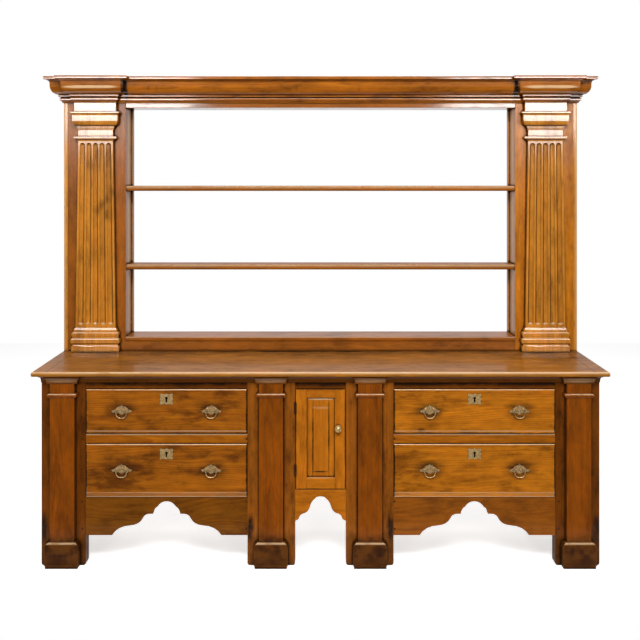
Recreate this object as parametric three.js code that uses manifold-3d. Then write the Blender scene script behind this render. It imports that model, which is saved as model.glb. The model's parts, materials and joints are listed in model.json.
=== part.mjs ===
// Welsh dresser in waxed pine: a low base with drawers and a cupboard between tall pilasters,
// and on it an open plate rack with fluted pilasters under a break-front cornice.
// Millimetres. +Z is up, the front faces -Y and X runs to the right. The origin lies on the
// floor under the middle of the dresser.

import * as THREE from 'three';
import { mergeVertices } from 'three/addons/utils/BufferGeometryUtils.js';
import Module from 'manifold-3d';

const wasm = await Module();
wasm.setup();

// Fit and fineness
const overrun = 5;
const seatGap = 0.3;
const curveSteps = 4;
const roundSides = 16;
const smallRoundSides = 8;

// Base, widths and depths
const carcassWidth = 2520;
const outerPostWidth = 200;
const innerPostWidth = 215;
const doorwayWidth = 230;
const postThickness = 45;
const postFootRound = 14;
const railThickness = 22;
const panelThickness = 22;
const topDepth = 530;
const topFrontOverhang = 48;
const topEndOverhang = 30;
const topEdgeRound = 7;
const topRearBoardWidth = 170;
const cleatWidth = 65;
const jointGrooveWidth = 3;
const backBoardWidth = 190;

// Base, heights from the floor up
const legHeight = 135;
const apronHeight = 173;
const lowerDrawerHeight = 243;
const middleRailHeight = 43;
const upperDrawerHeight = 204;
const topRailHeight = 64;
const topThickness = 22;
const doorwayHeight = 457;
const centreApronHeight = 142;
const backFootDepth = 60;

// Apron arches
const sideArchHalfWidth = 247;
const sideArchRise = 153;
const centreArchRise = 111;

// Moulding under the top
const topMouldingHeight = 36;
const topMouldingProjection = 13;
const topMouldingBreakWidth = 133;

// Base pilasters
const pilasterWidth = 108;
const pilasterProud = 24;
const pilasterFrontShare = 0.45;
const pilasterNeckHeight = 45;
const pilasterBeadHeight = 17;
const pilasterBeadProjection = 12;
const plinthHeight = 115;
const plinthRound = 30;
const plinthProjection = 22;
const footPadHeight = 14;

// Drawers
const drawerGap = 2;
const drawerProud = 4;
const drawerFrontThickness = 24;
const drawerEdgeRound = 7;
const drawerSideThickness = 12;
const drawerBottomThickness = 8;
const drawerSideDrop = 16;
const drawerBackSpace = 14;
const runnerWidth = 35;
const runnerHeight = 20;
const guideWidth = 20;
const guideHeight = 26;

// Drawer handles
const handleSpread = 404;
const handleRise = 10;
const handlePlateWidth = 93;
const handlePlateHeight = 46;
const handlePlateThickness = 1.8;
const handlePostSpread = 36;
const handlePostRadius = 4.6;
const handlePostLength = 13;
const bailDrop = 40;
const bailWidth = 56;
const bailWireRadius = 2.3;
const bailSteps = 18;

// Cupboard door
const doorGap = 2.5;
const doorThickness = 20;
const doorHingeStileWidth = 50;
const doorKnobStileWidth = 47;
const doorTopRailWidth = 39;
const doorBottomRailWidth = 53;
const doorRebateWidth = 8;
const doorRebateDepth = 10;
const panelEdgeThickness = 7;
const panelFieldRise = 5;
const panelFieldStep = 1.6;
const panelSideMargin = 28;
const panelTopMargin = 44;
const panelBottomMargin = 24;
const knobHeight = 281;
const knobRadius = 16.5;
const knobReach = 33;
const knobInset = 35;
const spindleRadius = 4;
const tongueLength = 46;
const tongueWidth = 12;
const tongueThickness = 3;
const hingeHeight = 52;
const hingeInset = 85;
const hingeKnuckleRadius = 3.5;
const hingeLeafThickness = 1.1;
const hingeLeafDepth = 20;

// Rack, widths and depths
const rackEndInset = 4;
const rackDepth = 126;
const rackSideThickness = 20;
const stileWidth = 290;
const stileThickness = 24;
const rackBattenWidth = 10;
const rackBattenDepth = 22;
const headerThickness = 22;

// Rack, heights from the base top up
const rackRailHeight = 49;
const rackFloorThickness = 22;
const rackFloorNosing = 5;
const lowerBayHeight = 335;
const middleBayHeight = 369;
const upperBayHeight = 391;
const shelfThickness = 26;
const shelfSetback = 4;
const headerHeight = 24;

// Rack pilasters
const fluteCount = 5;
const shaftTopWidth = 172;
const shaftBottomWidth = 198;
const shaftProud = 22;
const shaftFrontShare = 0.45;
const pedestalHeight = 120;
const pedestalProjection = 22;
const capitalHeight = 192;
const capitalProjection = 34;
const fluteTopWidth = 25;
const fluteBottomWidth = 29;
const fluteTopPitch = 32.3;
const fluteBottomPitch = 37.3;
const fluteBottomMargin = 14;
const fluteTopMargin = 9;
const fluteDepthShare = 0.8;

// Cornice
const corniceHeight = 124;
const corniceProjection = 76;
const corniceBreakWidth = 200;

// Levels and planes that follow from the sizes above
const frontY = -topDepth / 2;
const backY = topDepth / 2;
const faceY = frontY + topFrontOverhang;
const postBackY = faceY + postThickness;
const carcassBackY = backY - panelThickness;
const apronTop = legHeight + apronHeight;
const middleRailBottom = apronTop + lowerDrawerHeight;
const middleRailTop = middleRailBottom + middleRailHeight;
const topRailBottom = middleRailTop + upperDrawerHeight;
const carcassTop = topRailBottom + topRailHeight;
const baseTop = carcassTop + topThickness;
const sillTop = topRailBottom - doorwayHeight;
const carcassFloor = apronTop - runnerHeight;
const mouldingBottom = carcassTop - topMouldingHeight;
const carcassHalf = carcassWidth / 2;
const topHalf = carcassHalf + topEndOverhang;
const doorwayHalf = doorwayWidth / 2;
const outerPostInner = carcassHalf - outerPostWidth;
const innerPostOuter = doorwayHalf + innerPostWidth;
const outerPilasterX = (carcassHalf + outerPostInner) / 2;
const innerPilasterX = (doorwayHalf + innerPostOuter) / 2;
const bayCentre = (innerPostOuter + outerPostInner) / 2;

const rackHalf = topHalf - rackEndInset;
const rackFaceY = backY - rackDepth;
const stileOuter = rackHalf - rackSideThickness;
const stileInner = stileOuter - stileWidth;
const rackPilasterX = (stileInner + stileOuter) / 2;
const rackFloorTop = baseTop + rackRailHeight + rackFloorThickness;
const lowerShelfBottom = rackFloorTop + lowerBayHeight;
const upperShelfBottom = lowerShelfBottom + shelfThickness + middleBayHeight;
const headerBottom = upperShelfBottom + shelfThickness + upperBayHeight;
const corniceBottom = headerBottom + headerHeight;
const rackTop = corniceBottom + corniceHeight;

// Outlines as shares of the size they fill: a straight step is [x, y], a curved step is
// [control x, control y, x, y].
const sideArchShares = [
  [0, 1],
  [0.105, 1, 0.17, 0.84],
  [0.235, 0.79, 0.247, 0.63],
  [0.304, 0.63],
  [0.405, 0.63, 0.437, 0.5],
  [0.494, 0.31, 0.66, 0.288],
  [0.9, 0.27, 1, 0],
];
const centreArchShares = [
  [0, 1],
  [0.17, 1, 0.226, 0.9],
  [0.365, 0.8, 0.417, 0.568],
  [0.487, 0.333, 0.696, 0.297],
  [0.835, 0.243, 0.861, 0.072],
  [1, 0],
];
const topMouldingShares = [
  [0.15, 0],
  [0.15, 0.12],
  [0.2, 0.66, 0.75, 0.7],
  [1, 0.72],
  [1, 1],
];
const pedestalShares = [
  [0.86, 0],
  [0.86, 0.23],
  [0.6, 0.27],
  [0.6, 0.33],
  [1.12, 0.36, 1, 0.46],
  [0.98, 0.56, 0.62, 0.57],
  [0.62, 0.64],
  [0.86, 0.67, 0.8, 0.76],
  [0.76, 0.82, 0.4, 0.83],
  [0.4, 0.9],
  [0.2, 0.94, 0.1, 1],
];
const capitalShares = [
  [0.06, 0],
  [0.12, 0.055, 0.56, 0.06],
  [0.56, 0.115],
  [0, 0.125],
  [0, 0.286],
  [0.09, 0.29],
  [0.09, 0.33],
  [0.18, 0.34],
  [0.18, 0.385],
  [0.71, 0.4, 0.74, 0.51],
  [0.77, 0.52],
  [0.77, 0.66],
  [0.82, 0.71, 1, 0.72],
  [1, 0.755],
  [0.51, 0.765],
  [0.51, 1],
];
const corniceShares = [
  [0.07, 0],
  [0.1, 0.085, 0.22, 0.09],
  [0.22, 0.175],
  [0.14, 0.18],
  [0.14, 0.215],
  [0.27, 0.225],
  [0.27, 0.31],
  [0.62, 0.33, 0.69, 0.6],
  [0.7, 0.78],
  [0.73, 0.865, 0.93, 0.875],
  [1, 0.885],
  [1, 1],
];
const plateShares = [
  [0, 1],
  [0.06, 0.62, 0.2, 0.6],
  [0.42, 0.72, 0.55, 0.42],
  [0.7, 0.2, 1, 0.16],
  [0.92, -0.16, 0.72, -0.2],
  [0.62, -0.62, 0.42, -0.6],
  [0.28, -0.56, 0.2, -0.8],
  [0.1, -1, 0, -1],
];
const bailShares = [
  [0.98, -0.12],
  [1, -0.34],
  [0.86, -0.72],
  [0.5, -0.95],
  [0, -1],
];
const knobShares = [
  [0, -1],
  [0.42, -0.97, 0.72, -0.84],
  [1, -0.7, 1, -0.52],
  [0.98, -0.3, 0.5, -0.24],
  [0.36, -0.18, 0.42, -0.08],
  [0.62, -0.08],
  [0.62, 0],
];

const axisX = new THREE.Vector3(1, 0, 0);
const axisY = new THREE.Vector3(0, 1, 0);
const axisZ = new THREE.Vector3(0, 0, 1);

// Helpers that turn three.js geometry into solids that can be joined and cut, and back

function toSolid(geometry) {
  geometry.deleteAttribute('normal');
  geometry.deleteAttribute('uv');
  const merged = mergeVertices(geometry);
  const corners = merged.index.array;
  const faces = [];
  for (let start = 0; start < corners.length; start += 3) {
    const face = corners.slice(start, start + 3);
    if (new Set(face).size === 3) faces.push(...face);
  }
  return new wasm.Manifold(new wasm.Mesh({
    numProp: 3,
    vertProperties: new Float32Array(merged.attributes.position.array),
    triVerts: new Uint32Array(faces),
  }));
}

function toGeometry(solid) {
  const mesh = solid.getMesh();
  const geometry = new THREE.BufferGeometry();
  geometry.setAttribute('position', new THREE.BufferAttribute(mesh.vertProperties, 3));
  geometry.setIndex(new THREE.BufferAttribute(mesh.triVerts, 1));
  geometry.computeVertexNormals();
  return geometry;
}

function slab([x0, x1], [y0, y1], [z0, z1]) {
  const box = new THREE.BoxGeometry(x1 - x0, y1 - y0, z1 - z0);
  box.translate((x0 + x1) / 2, (y0 + y1) / 2, (z0 + z1) / 2);
  return toSolid(box);
}

function joined(solids) {
  return solids.reduce((whole, piece) => whole.add(piece));
}

// A span of X on the right side, or its mirror image on the left
function sideSpan(side, near, far) {
  return side > 0 ? [near, far] : [-far, -near];
}

function shapeFrom(points) {
  return new THREE.Shape(points.map(([x, y]) => new THREE.Vector2(x, y)));
}

function extruded(shape, length) {
  return new THREE.ExtrudeGeometry(shape, {
    depth: length,
    bevelEnabled: false,
    curveSegments: curveSteps,
  });
}

// The shape's x and y lie along Y and Z
function extrudeAlongX(shape, [x0, x1]) {
  const geometry = extruded(shape, x1 - x0);
  geometry.applyMatrix4(new THREE.Matrix4().makeBasis(axisY, axisZ, axisX));
  geometry.translate(x0, 0, 0);
  return toSolid(geometry);
}

// The shape's x and y lie along X and Z
function extrudeAlongY(shape, [y0, y1]) {
  const geometry = extruded(shape, y1 - y0);
  geometry.rotateX(Math.PI / 2);
  geometry.translate(0, y1, 0);
  return toSolid(geometry);
}

// The shape's x and y lie along X and Y
function extrudeAlongZ(shape, [z0, z1]) {
  const geometry = extruded(shape, z1 - z0);
  geometry.translate(0, 0, z0);
  return toSolid(geometry);
}

// Points of a share outline, stretched to a width and a height, with its foot raised to a level
function outlineFrom(shares, width, height, level = 0) {
  const path = new THREE.Path();
  for (const [index, step] of shares.entries()) {
    const sized = step.map((share, place) => (place % 2 ? level + share * height : share * width));
    if (index === 0) path.moveTo(...sized);
    else if (step.length === 2) path.lineTo(...sized);
    else path.quadraticCurveTo(...sized);
  }
  return path.getPoints(curveSteps).map(({ x, y }) => [x, y]);
}

// A moulded block against a wall: its front and both sides swell by the profile's offsets,
// and meet in true mitres. Profile points are [offset, height].
function mitredBlock({ centreX = 0, halfWidth, wallY, proud, profile, frontShare = 1 }) {
  const widest = Math.max(...profile.map(([offset]) => offset));
  const foot = Math.min(...profile.map(([, height]) => height));
  const head = Math.max(...profile.map(([, height]) => height));
  const right = profile.map(([offset, height]) => [centreX + halfWidth + offset, height]);
  const left = profile.map(([offset, height]) => [centreX - halfWidth - offset, height]);
  const front = profile.map(([offset, height]) => [wallY - proud - offset * frontShare, height]);
  const reach = halfWidth + widest + overrun;
  const facing = shapeFrom([...right, ...left.reverse()]);
  const section = shapeFrom([...front, [wallY, head], [wallY, foot]]);
  const forward = wallY - proud - widest - overrun;
  return extrudeAlongY(facing, [forward, wallY + overrun])
    .intersect(extrudeAlongX(section, [centreX - reach, centreX + reach]));
}

// A moulding round the front and both ends of a case, breaking forward over each pilaster
function breakFrontMoulding({ halfWidth, wallY, profile, breakCentres, breakWidth, breakForward }) {
  const foot = profile[0][1];
  const head = profile[profile.length - 1][1];
  const run = mitredBlock({ halfWidth, wallY: backY, proud: backY - wallY, profile });
  const breaks = breakCentres.map((centreX) => mitredBlock({
    centreX,
    halfWidth: breakWidth / 2,
    wallY: wallY + overrun,
    proud: breakForward + overrun,
    profile,
  }));
  const core = slab(
    [-halfWidth, halfWidth],
    [wallY, backY + overrun],
    [foot - overrun, head + overrun],
  );
  return joined([run, ...breaks]).subtract(core);
}

// A board whose front edges are rounded over on all four sides
function roundedFront([x0, x1], [y0, y1], [z0, z1], radius) {
  const section = ([low, high], draw) => {
    const shape = new THREE.Shape();
    shape.moveTo(...draw(low, y1));
    shape.lineTo(...draw(low, y0 + radius));
    shape.quadraticCurveTo(...draw(low, y0), ...draw(low + radius, y0));
    shape.lineTo(...draw(high - radius, y0));
    shape.quadraticCurveTo(...draw(high, y0), ...draw(high, y0 + radius));
    shape.lineTo(...draw(high, y1));
    return shape;
  };
  const plan = section([x0, x1], (across, depth) => [across, depth]);
  const upright = section([z0, z1], (across, depth) => [depth, across]);
  return extrudeAlongZ(plan, [z0, z1]).intersect(extrudeAlongX(upright, [x0, x1]));
}

function rod(radius, sides, [y0, y1], x, z) {
  const cylinder = new THREE.CylinderGeometry(radius, radius, y1 - y0, sides);
  cylinder.translate(x, (y0 + y1) / 2, z);
  return toSolid(cylinder);
}

// Base: top, moulding, rails, posts and pilasters

// A V groove sunk into the base top, as an outline across its run
function jointGroove(place) {
  const depth = jointGrooveWidth / 2;
  return shapeFrom([
    [place - depth, baseTop + depth],
    [place, baseTop - depth],
    [place + depth, baseTop + depth],
  ]);
}

// Two long boards between cleats, with a fine groove at each joint. The rack stands on the
// rear board, behind their joint.
function topBoard() {
  const plan = shapeFrom([
    [-topHalf + topEdgeRound, frontY + topEdgeRound],
    [topHalf - topEdgeRound, frontY + topEdgeRound],
    [topHalf - topEdgeRound, backY - topEdgeRound],
    [-topHalf + topEdgeRound, backY - topEdgeRound],
  ]);
  const geometry = new THREE.ExtrudeGeometry(plan, {
    depth: topThickness - 2 * topEdgeRound,
    bevelThickness: topEdgeRound,
    bevelSize: topEdgeRound,
    bevelSegments: curveSteps,
  });
  geometry.translate(0, 0, carcassTop + topEdgeRound);
  const cleatJoint = topHalf - cleatWidth;
  const boardJointEnd = cleatJoint - jointGrooveWidth / 4;
  const grooves = joined([
    extrudeAlongX(jointGroove(backY - topRearBoardWidth), [-boardJointEnd, boardJointEnd]),
    extrudeAlongY(jointGroove(-cleatJoint), [frontY - overrun, backY + overrun]),
    extrudeAlongY(jointGroove(cleatJoint), [frontY - overrun, backY + overrun]),
  ]);
  return toSolid(geometry).subtract(grooves);
}

function topMoulding() {
  return breakFrontMoulding({
    halfWidth: carcassHalf,
    wallY: faceY,
    profile: outlineFrom(topMouldingShares, topMouldingProjection, topMouldingHeight, mouldingBottom),
    breakCentres: [-outerPilasterX, -innerPilasterX, innerPilasterX, outerPilasterX],
    breakWidth: topMouldingBreakWidth,
    breakForward: pilasterProud,
  });
}

// The rail laps behind the two inner posts and butts against the outer ones
function topRail() {
  const lapY = faceY + postThickness / 2;
  const heights = [topRailBottom, carcassTop];
  return joined([
    slab([-outerPostInner, outerPostInner], [lapY, postBackY], heights),
    slab([-outerPostInner, -innerPostOuter], [faceY, lapY], heights),
    slab([-doorwayHalf, doorwayHalf], [faceY, lapY], heights),
    slab([innerPostOuter, outerPostInner], [faceY, lapY], heights),
  ]);
}

function postOutline(side, near, far) {
  const shape = new THREE.Shape();
  shape.moveTo(side * near, carcassTop);
  shape.lineTo(side * near, postFootRound);
  shape.quadraticCurveTo(side * near, 0, side * (near + postFootRound), 0);
  shape.lineTo(side * (far - postFootRound), 0);
  shape.quadraticCurveTo(side * far, 0, side * far, postFootRound);
  shape.lineTo(side * far, carcassTop);
  return shape;
}

function outerPost(side) {
  return extrudeAlongY(postOutline(side, outerPostInner, carcassHalf), [faceY, postBackY]);
}

function innerPost(side) {
  const lap = slab(
    sideSpan(side, doorwayHalf - overrun, innerPostOuter + overrun),
    [faceY + postThickness / 2, postBackY + overrun],
    [topRailBottom, carcassTop + overrun],
  );
  const post = extrudeAlongY(postOutline(side, doorwayHalf, innerPostOuter), [faceY, postBackY]);
  return post.subtract(side > 0 ? joined([lap, tonguePocket()]) : lap);
}

function pilasterProfile() {
  const beadBottom = mouldingBottom - pilasterNeckHeight - pilasterBeadHeight;
  const beadTop = beadBottom + pilasterBeadHeight;
  const padInset = plinthProjection - topEdgeRound / 2;
  const path = new THREE.Path();
  path.moveTo(padInset, 0);
  path.lineTo(padInset, footPadHeight);
  path.lineTo(plinthProjection, footPadHeight);
  path.lineTo(plinthProjection, plinthHeight - plinthRound);
  path.quadraticCurveTo(plinthProjection, plinthHeight, 0, plinthHeight);
  path.lineTo(0, beadBottom);
  path.quadraticCurveTo(pilasterBeadProjection, beadBottom,
    pilasterBeadProjection, (beadBottom + beadTop) / 2);
  path.quadraticCurveTo(pilasterBeadProjection, beadTop, 0, beadTop);
  path.lineTo(0, mouldingBottom);
  return path.getPoints(curveSteps).map(({ x, y }) => [x, y]);
}

function basePilaster(centreX) {
  return mitredBlock({
    centreX,
    halfWidth: pilasterWidth / 2,
    wallY: faceY,
    proud: pilasterProud,
    profile: pilasterProfile(),
    frontShare: pilasterFrontShare,
  });
}

// Base: carcass boards

// A board on edge from front to back, with a foot at its back end
function footedBoard(bottom) {
  return shapeFrom([
    [postBackY, carcassTop],
    [postBackY, bottom],
    [carcassBackY - backFootDepth, bottom],
    [carcassBackY - backFootDepth, 0],
    [carcassBackY, 0],
    [carcassBackY, carcassTop],
  ]);
}

function endPanel(side) {
  const foot = carcassBackY - backFootDepth;
  const shape = new THREE.Shape();
  shape.moveTo(postBackY, carcassTop);
  shape.lineTo(postBackY, 0);
  shape.quadraticCurveTo(postBackY, legHeight, postBackY + backFootDepth, legHeight);
  shape.lineTo(foot - backFootDepth, legHeight);
  shape.quadraticCurveTo(foot, legHeight, foot, 0);
  shape.lineTo(backY, 0);
  shape.lineTo(backY, carcassTop);
  return extrudeAlongX(shape, sideSpan(side, carcassHalf - panelThickness, carcassHalf));
}

function cupboardBox() {
  const inner = innerPostOuter - panelThickness;
  const floor = [sillTop - panelThickness, sillTop];
  const lowest = Math.min(carcassFloor, floor[0]);
  return joined([
    extrudeAlongX(footedBoard(lowest), [-innerPostOuter, -inner]),
    extrudeAlongX(footedBoard(lowest), [inner, innerPostOuter]),
    slab([-innerPostOuter, innerPostOuter], [postBackY, carcassBackY], floor),
    slab([-doorwayHalf, doorwayHalf], [faceY + railThickness, postBackY + overrun], floor),
  ]);
}

// Upright boards across the back, shown by a groove at each joint
function backBoards() {
  const half = carcassHalf - panelThickness;
  const count = Math.round(2 * half / backBoardWidth);
  const depth = jointGrooveWidth / 2;
  const points = [[half, carcassBackY], [-half, carcassBackY], [-half, backY]];
  for (let joint = 1; joint < count; joint += 1) {
    const x = -half + 2 * half * joint / count;
    points.push([x - depth, backY], [x, backY - depth], [x + depth, backY]);
  }
  points.push([half, backY]);
  return extrudeAlongZ(shapeFrom(points), [carcassFloor, carcassTop]);
}

// Two runners on the inside of a drawer bay, with a guide strip beside the outer one
function runners(side, top) {
  const lengths = [faceY + railThickness, carcassBackY];
  const behindPost = [postBackY, carcassBackY];
  const heights = [top - runnerHeight, top];
  return [
    slab(sideSpan(side, innerPostOuter, innerPostOuter + runnerWidth), lengths, heights),
    slab(sideSpan(side, outerPostInner - runnerWidth, outerPostInner), lengths, heights),
    slab(
      sideSpan(side, outerPostInner, outerPostInner + guideWidth),
      behindPost,
      [top - runnerHeight, top + guideHeight],
    ),
  ];
}

function drawerRails(side) {
  return joined([
    slab(
      sideSpan(side, innerPostOuter, outerPostInner),
      [faceY, faceY + railThickness],
      [middleRailBottom, middleRailTop],
    ),
    ...runners(side, middleRailTop),
  ]);
}

function archedBoard([left, right], [bottom, top], halfWidth, rise, shares) {
  const centre = (left + right) / 2;
  const half = outlineFrom(shares, halfWidth, rise, bottom);
  const rightHalf = half.map(([x, z]) => [centre + x, z]);
  const leftHalf = half.slice(1).map(([x, z]) => [centre - x, z]).reverse();
  const ends = halfWidth * 2 < right - left ? [[right, bottom], [right, top], [left, top], [left, bottom]]
    : [[right, top], [left, top]];
  const outline = shapeFrom([...leftHalf, ...rightHalf, ...ends]);
  return extrudeAlongY(outline, [faceY, faceY + railThickness]);
}

function sideApron(side) {
  const span = sideSpan(side, innerPostOuter, outerPostInner);
  const board = archedBoard(span, [legHeight, apronTop], sideArchHalfWidth, sideArchRise, sideArchShares);
  return joined([board, ...runners(side, apronTop)]);
}

function centreApron() {
  return archedBoard(
    [-doorwayHalf, doorwayHalf],
    [sillTop - centreApronHeight, sillTop],
    doorwayHalf,
    centreArchRise,
    centreArchShares,
  );
}

// Drawers

function drawerSizes(side, tier) {
  const [bottom, top] = tier === 'upper'
    ? [middleRailTop, topRailBottom]
    : [apronTop, middleRailBottom];
  return {
    across: sideSpan(side, innerPostOuter + drawerGap, outerPostInner - drawerGap),
    frontFace: faceY - drawerProud,
    frontBack: faceY - drawerProud + drawerFrontThickness,
    upright: [bottom + seatGap, top - drawerGap],
  };
}

function drawerFront(side, tier) {
  const { across, frontFace, frontBack, upright } = drawerSizes(side, tier);
  return roundedFront(across, [frontFace, frontBack], upright, drawerEdgeRound);
}

function drawerBox(side, tier) {
  const { across: [x0, x1], frontBack, upright: [bottom, top] } = drawerSizes(side, tier);
  const depth = [frontBack, carcassBackY - drawerBackSpace];
  const rim = top - drawerSideDrop;
  const block = slab([x0, x1], depth, [bottom, rim]);
  const hollow = slab(
    [x0 + drawerSideThickness, x1 - drawerSideThickness],
    [frontBack - overrun, depth[1] - drawerSideThickness],
    [bottom + drawerBottomThickness, rim + overrun],
  );
  return block.subtract(hollow);
}

// Handles: a fretted plate with two posts, and a bail that swings between them

function handlePlate() {
  const half = outlineFrom(plateShares, handlePlateWidth / 2, handlePlateHeight / 2);
  const mirrored = half.slice(1, -1).map(([x, z]) => [-x, z]).reverse();
  const plate = extrudeAlongY(shapeFrom([...half, ...mirrored]), [-handlePlateThickness, 0]);
  const posts = [-1, 1].map((side) => {
    const x = side * handlePostSpread / 2;
    const neck = rod(handlePostRadius * 0.8, smallRoundSides, [-handlePostLength, -handlePlateThickness / 2], x, 0);
    const socket = new THREE.CylinderGeometry(
      bailWireRadius + 2 * seatGap,
      bailWireRadius + 2 * seatGap,
      handlePostRadius + overrun,
      smallRoundSides,
    );
    socket.rotateZ(Math.PI / 2);
    socket.translate(x + side * (handlePostRadius + overrun) / 2, -pivotReach(), 0);
    const ball = new THREE.SphereGeometry(handlePostRadius, smallRoundSides, smallRoundSides / 2);
    ball.translate(x, -pivotReach(), 0);
    return neck.add(toSolid(ball)).subtract(toSolid(socket));
  });
  return joined([plate, ...posts]);
}

function pivotReach() {
  return handlePostLength - handlePostRadius;
}

function bail() {
  const tipX = handlePostSpread / 2;
  const clearX = tipX + handlePostRadius + bailWireRadius / 2;
  const loop = bailShares.map(([x, z]) => [x * bailWidth / 2, z * bailDrop]);
  const half = [[tipX + seatGap, 0], [(tipX + clearX) / 2, 0], [clearX, 0], ...loop];
  const leftHalf = half.slice(0, -1).map(([x, z]) => [-x, z]);
  const points = [...leftHalf, ...half.reverse()];
  const curve = new THREE.CatmullRomCurve3(points.map(([x, z]) => new THREE.Vector3(x, 0, z)));
  const section = new THREE.Shape();
  section.absarc(0, 0, bailWireRadius, 0, 2 * Math.PI);
  const wire = new THREE.ExtrudeGeometry(section, {
    steps: bailSteps,
    extrudePath: curve,
    curveSegments: smallRoundSides / 2,
  });
  return toSolid(wire);
}

// Cupboard door with a rebated frame, a fielded panel, a turning knob and two hinges

const doorLeft = -doorwayHalf + doorGap;
const doorRight = doorwayHalf - doorGap;
const doorBottom = sillTop + doorGap;
const doorTop = topRailBottom - doorGap;
const doorBackY = faceY + doorThickness;
const knobX = doorRight - knobInset + doorGap;
const knobZ = sillTop + knobHeight;
const sightLeft = doorLeft + doorHingeStileWidth;
const sightRight = doorRight - doorKnobStileWidth;
const sightBottom = doorBottom + doorBottomRailWidth;
const sightTop = doorTop - doorTopRailWidth;
const rebateY = doorBackY - doorRebateDepth;

function doorFrame() {
  const frame = slab([doorLeft, doorRight], [faceY, doorBackY], [doorBottom, doorTop]);
  const sight = slab(
    [sightLeft, sightRight],
    [faceY - overrun, doorBackY + overrun],
    [sightBottom, sightTop],
  );
  const rebate = slab(
    [sightLeft - doorRebateWidth, sightRight + doorRebateWidth],
    [rebateY, doorBackY + overrun],
    [sightBottom - doorRebateWidth, sightTop + doorRebateWidth],
  );
  const hole = rod(
    spindleRadius + seatGap,
    roundSides,
    [faceY - overrun, doorBackY + overrun],
    knobX,
    knobZ,
  );
  return frame.subtract(joined([sight, rebate, hole]));
}

// The panel's edge lies in the rebate; its field stands up by a small step above slanted margins
function doorPanel() {
  const edgeBack = rebateY + panelEdgeThickness;
  const marginY = rebateY - panelFieldRise + panelFieldStep;
  const fieldY = rebateY - panelFieldRise;
  const across = [sightLeft, sightLeft + panelSideMargin, sightRight - panelSideMargin, sightRight];
  const upright = [sightBottom, sightBottom + panelBottomMargin, sightTop - panelTopMargin, sightTop];
  const section = ([low, fieldLow, fieldHigh, high], draw) => shapeFrom([
    draw(low - doorRebateWidth + seatGap, edgeBack),
    draw(low - doorRebateWidth + seatGap, rebateY),
    draw(low + seatGap, rebateY),
    draw(low + seatGap, rebateY - panelFieldStep),
    draw(fieldLow, marginY),
    draw(fieldLow, fieldY),
    draw(fieldHigh, fieldY),
    draw(fieldHigh, marginY),
    draw(high - seatGap, rebateY - panelFieldStep),
    draw(high - seatGap, rebateY),
    draw(high + doorRebateWidth - seatGap, rebateY),
    draw(high + doorRebateWidth - seatGap, edgeBack),
  ]);
  const plan = section(across, (place, depth) => [place, depth]);
  const side = section(upright, (place, depth) => [depth, place]);
  const zSpan = [upright[0] - doorRebateWidth + seatGap, upright[3] + doorRebateWidth - seatGap];
  const xSpan = [across[0] - doorRebateWidth + seatGap, across[3] + doorRebateWidth - seatGap];
  return extrudeAlongZ(plan, zSpan).intersect(extrudeAlongX(side, xSpan));
}

// Knob, spindle and tongue turn together; the tongue hangs down when the door is free
function doorKnob() {
  const outline = outlineFrom(knobShares, knobRadius, knobReach);
  const points = outline.map(([x, y]) => new THREE.Vector2(x, y));
  points.push(new THREE.Vector2(0, 0));
  const turned = toSolid(new THREE.LatheGeometry(points, roundSides));
  const tongueY = doorThickness + 2 * seatGap;
  const spindle = rod(spindleRadius, roundSides, [-seatGap, tongueY + tongueThickness], 0, 0);
  const tongue = slab(
    [-tongueWidth / 2, tongueWidth / 2],
    [tongueY, tongueY + tongueThickness],
    [-tongueLength, tongueWidth / 2],
  );
  return joined([turned, spindle, tongue]);
}

// A slot in the post's edge that the tongue swings into
function tonguePocket() {
  const y0 = doorBackY + seatGap;
  const rest = knobX + tongueLength - doorwayHalf;
  const drop = Math.sqrt(tongueLength ** 2 - (tongueLength - rest) ** 2);
  return slab(
    [doorwayHalf - overrun, knobX + tongueLength + drawerGap],
    [y0 - drawerGap, y0 + tongueThickness + drawerGap],
    [knobZ - drop - tongueWidth, knobZ + tongueWidth],
  );
}

function hinge() {
  const knuckle = new THREE.CylinderGeometry(
    hingeKnuckleRadius,
    hingeKnuckleRadius,
    hingeHeight,
    smallRoundSides,
  );
  knuckle.rotateX(Math.PI / 2);
  const leafX = doorGap / 2;
  const leaf = slab(
    [leafX - hingeLeafThickness, leafX],
    [0, hingeLeafDepth],
    [-hingeHeight / 2, hingeHeight / 2],
  );
  return toSolid(knuckle).add(leaf);
}

// Rack

function rackSide(side) {
  return slab(sideSpan(side, stileOuter, rackHalf), [rackFaceY, backY], [baseTop, rackTop]);
}

// A batten in the corner behind the shelves, which the rack's floor is notched round
function rackBatten(side) {
  return slab(
    sideSpan(side, stileInner - rackBattenWidth, stileInner + overrun),
    [backY - rackBattenDepth, backY],
    [baseTop, headerBottom],
  );
}

// A wide stile, the board behind it that lines the shelves, and its batten
function rackStile(side) {
  const backOfStile = rackFaceY + stileThickness;
  const heights = [baseTop, rackTop];
  return joined([
    slab(sideSpan(side, stileInner, stileOuter), [rackFaceY, backOfStile], heights),
    slab(sideSpan(side, stileInner, stileInner + rackSideThickness), [rackFaceY, backY], heights),
    rackBatten(side),
  ]);
}

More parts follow.
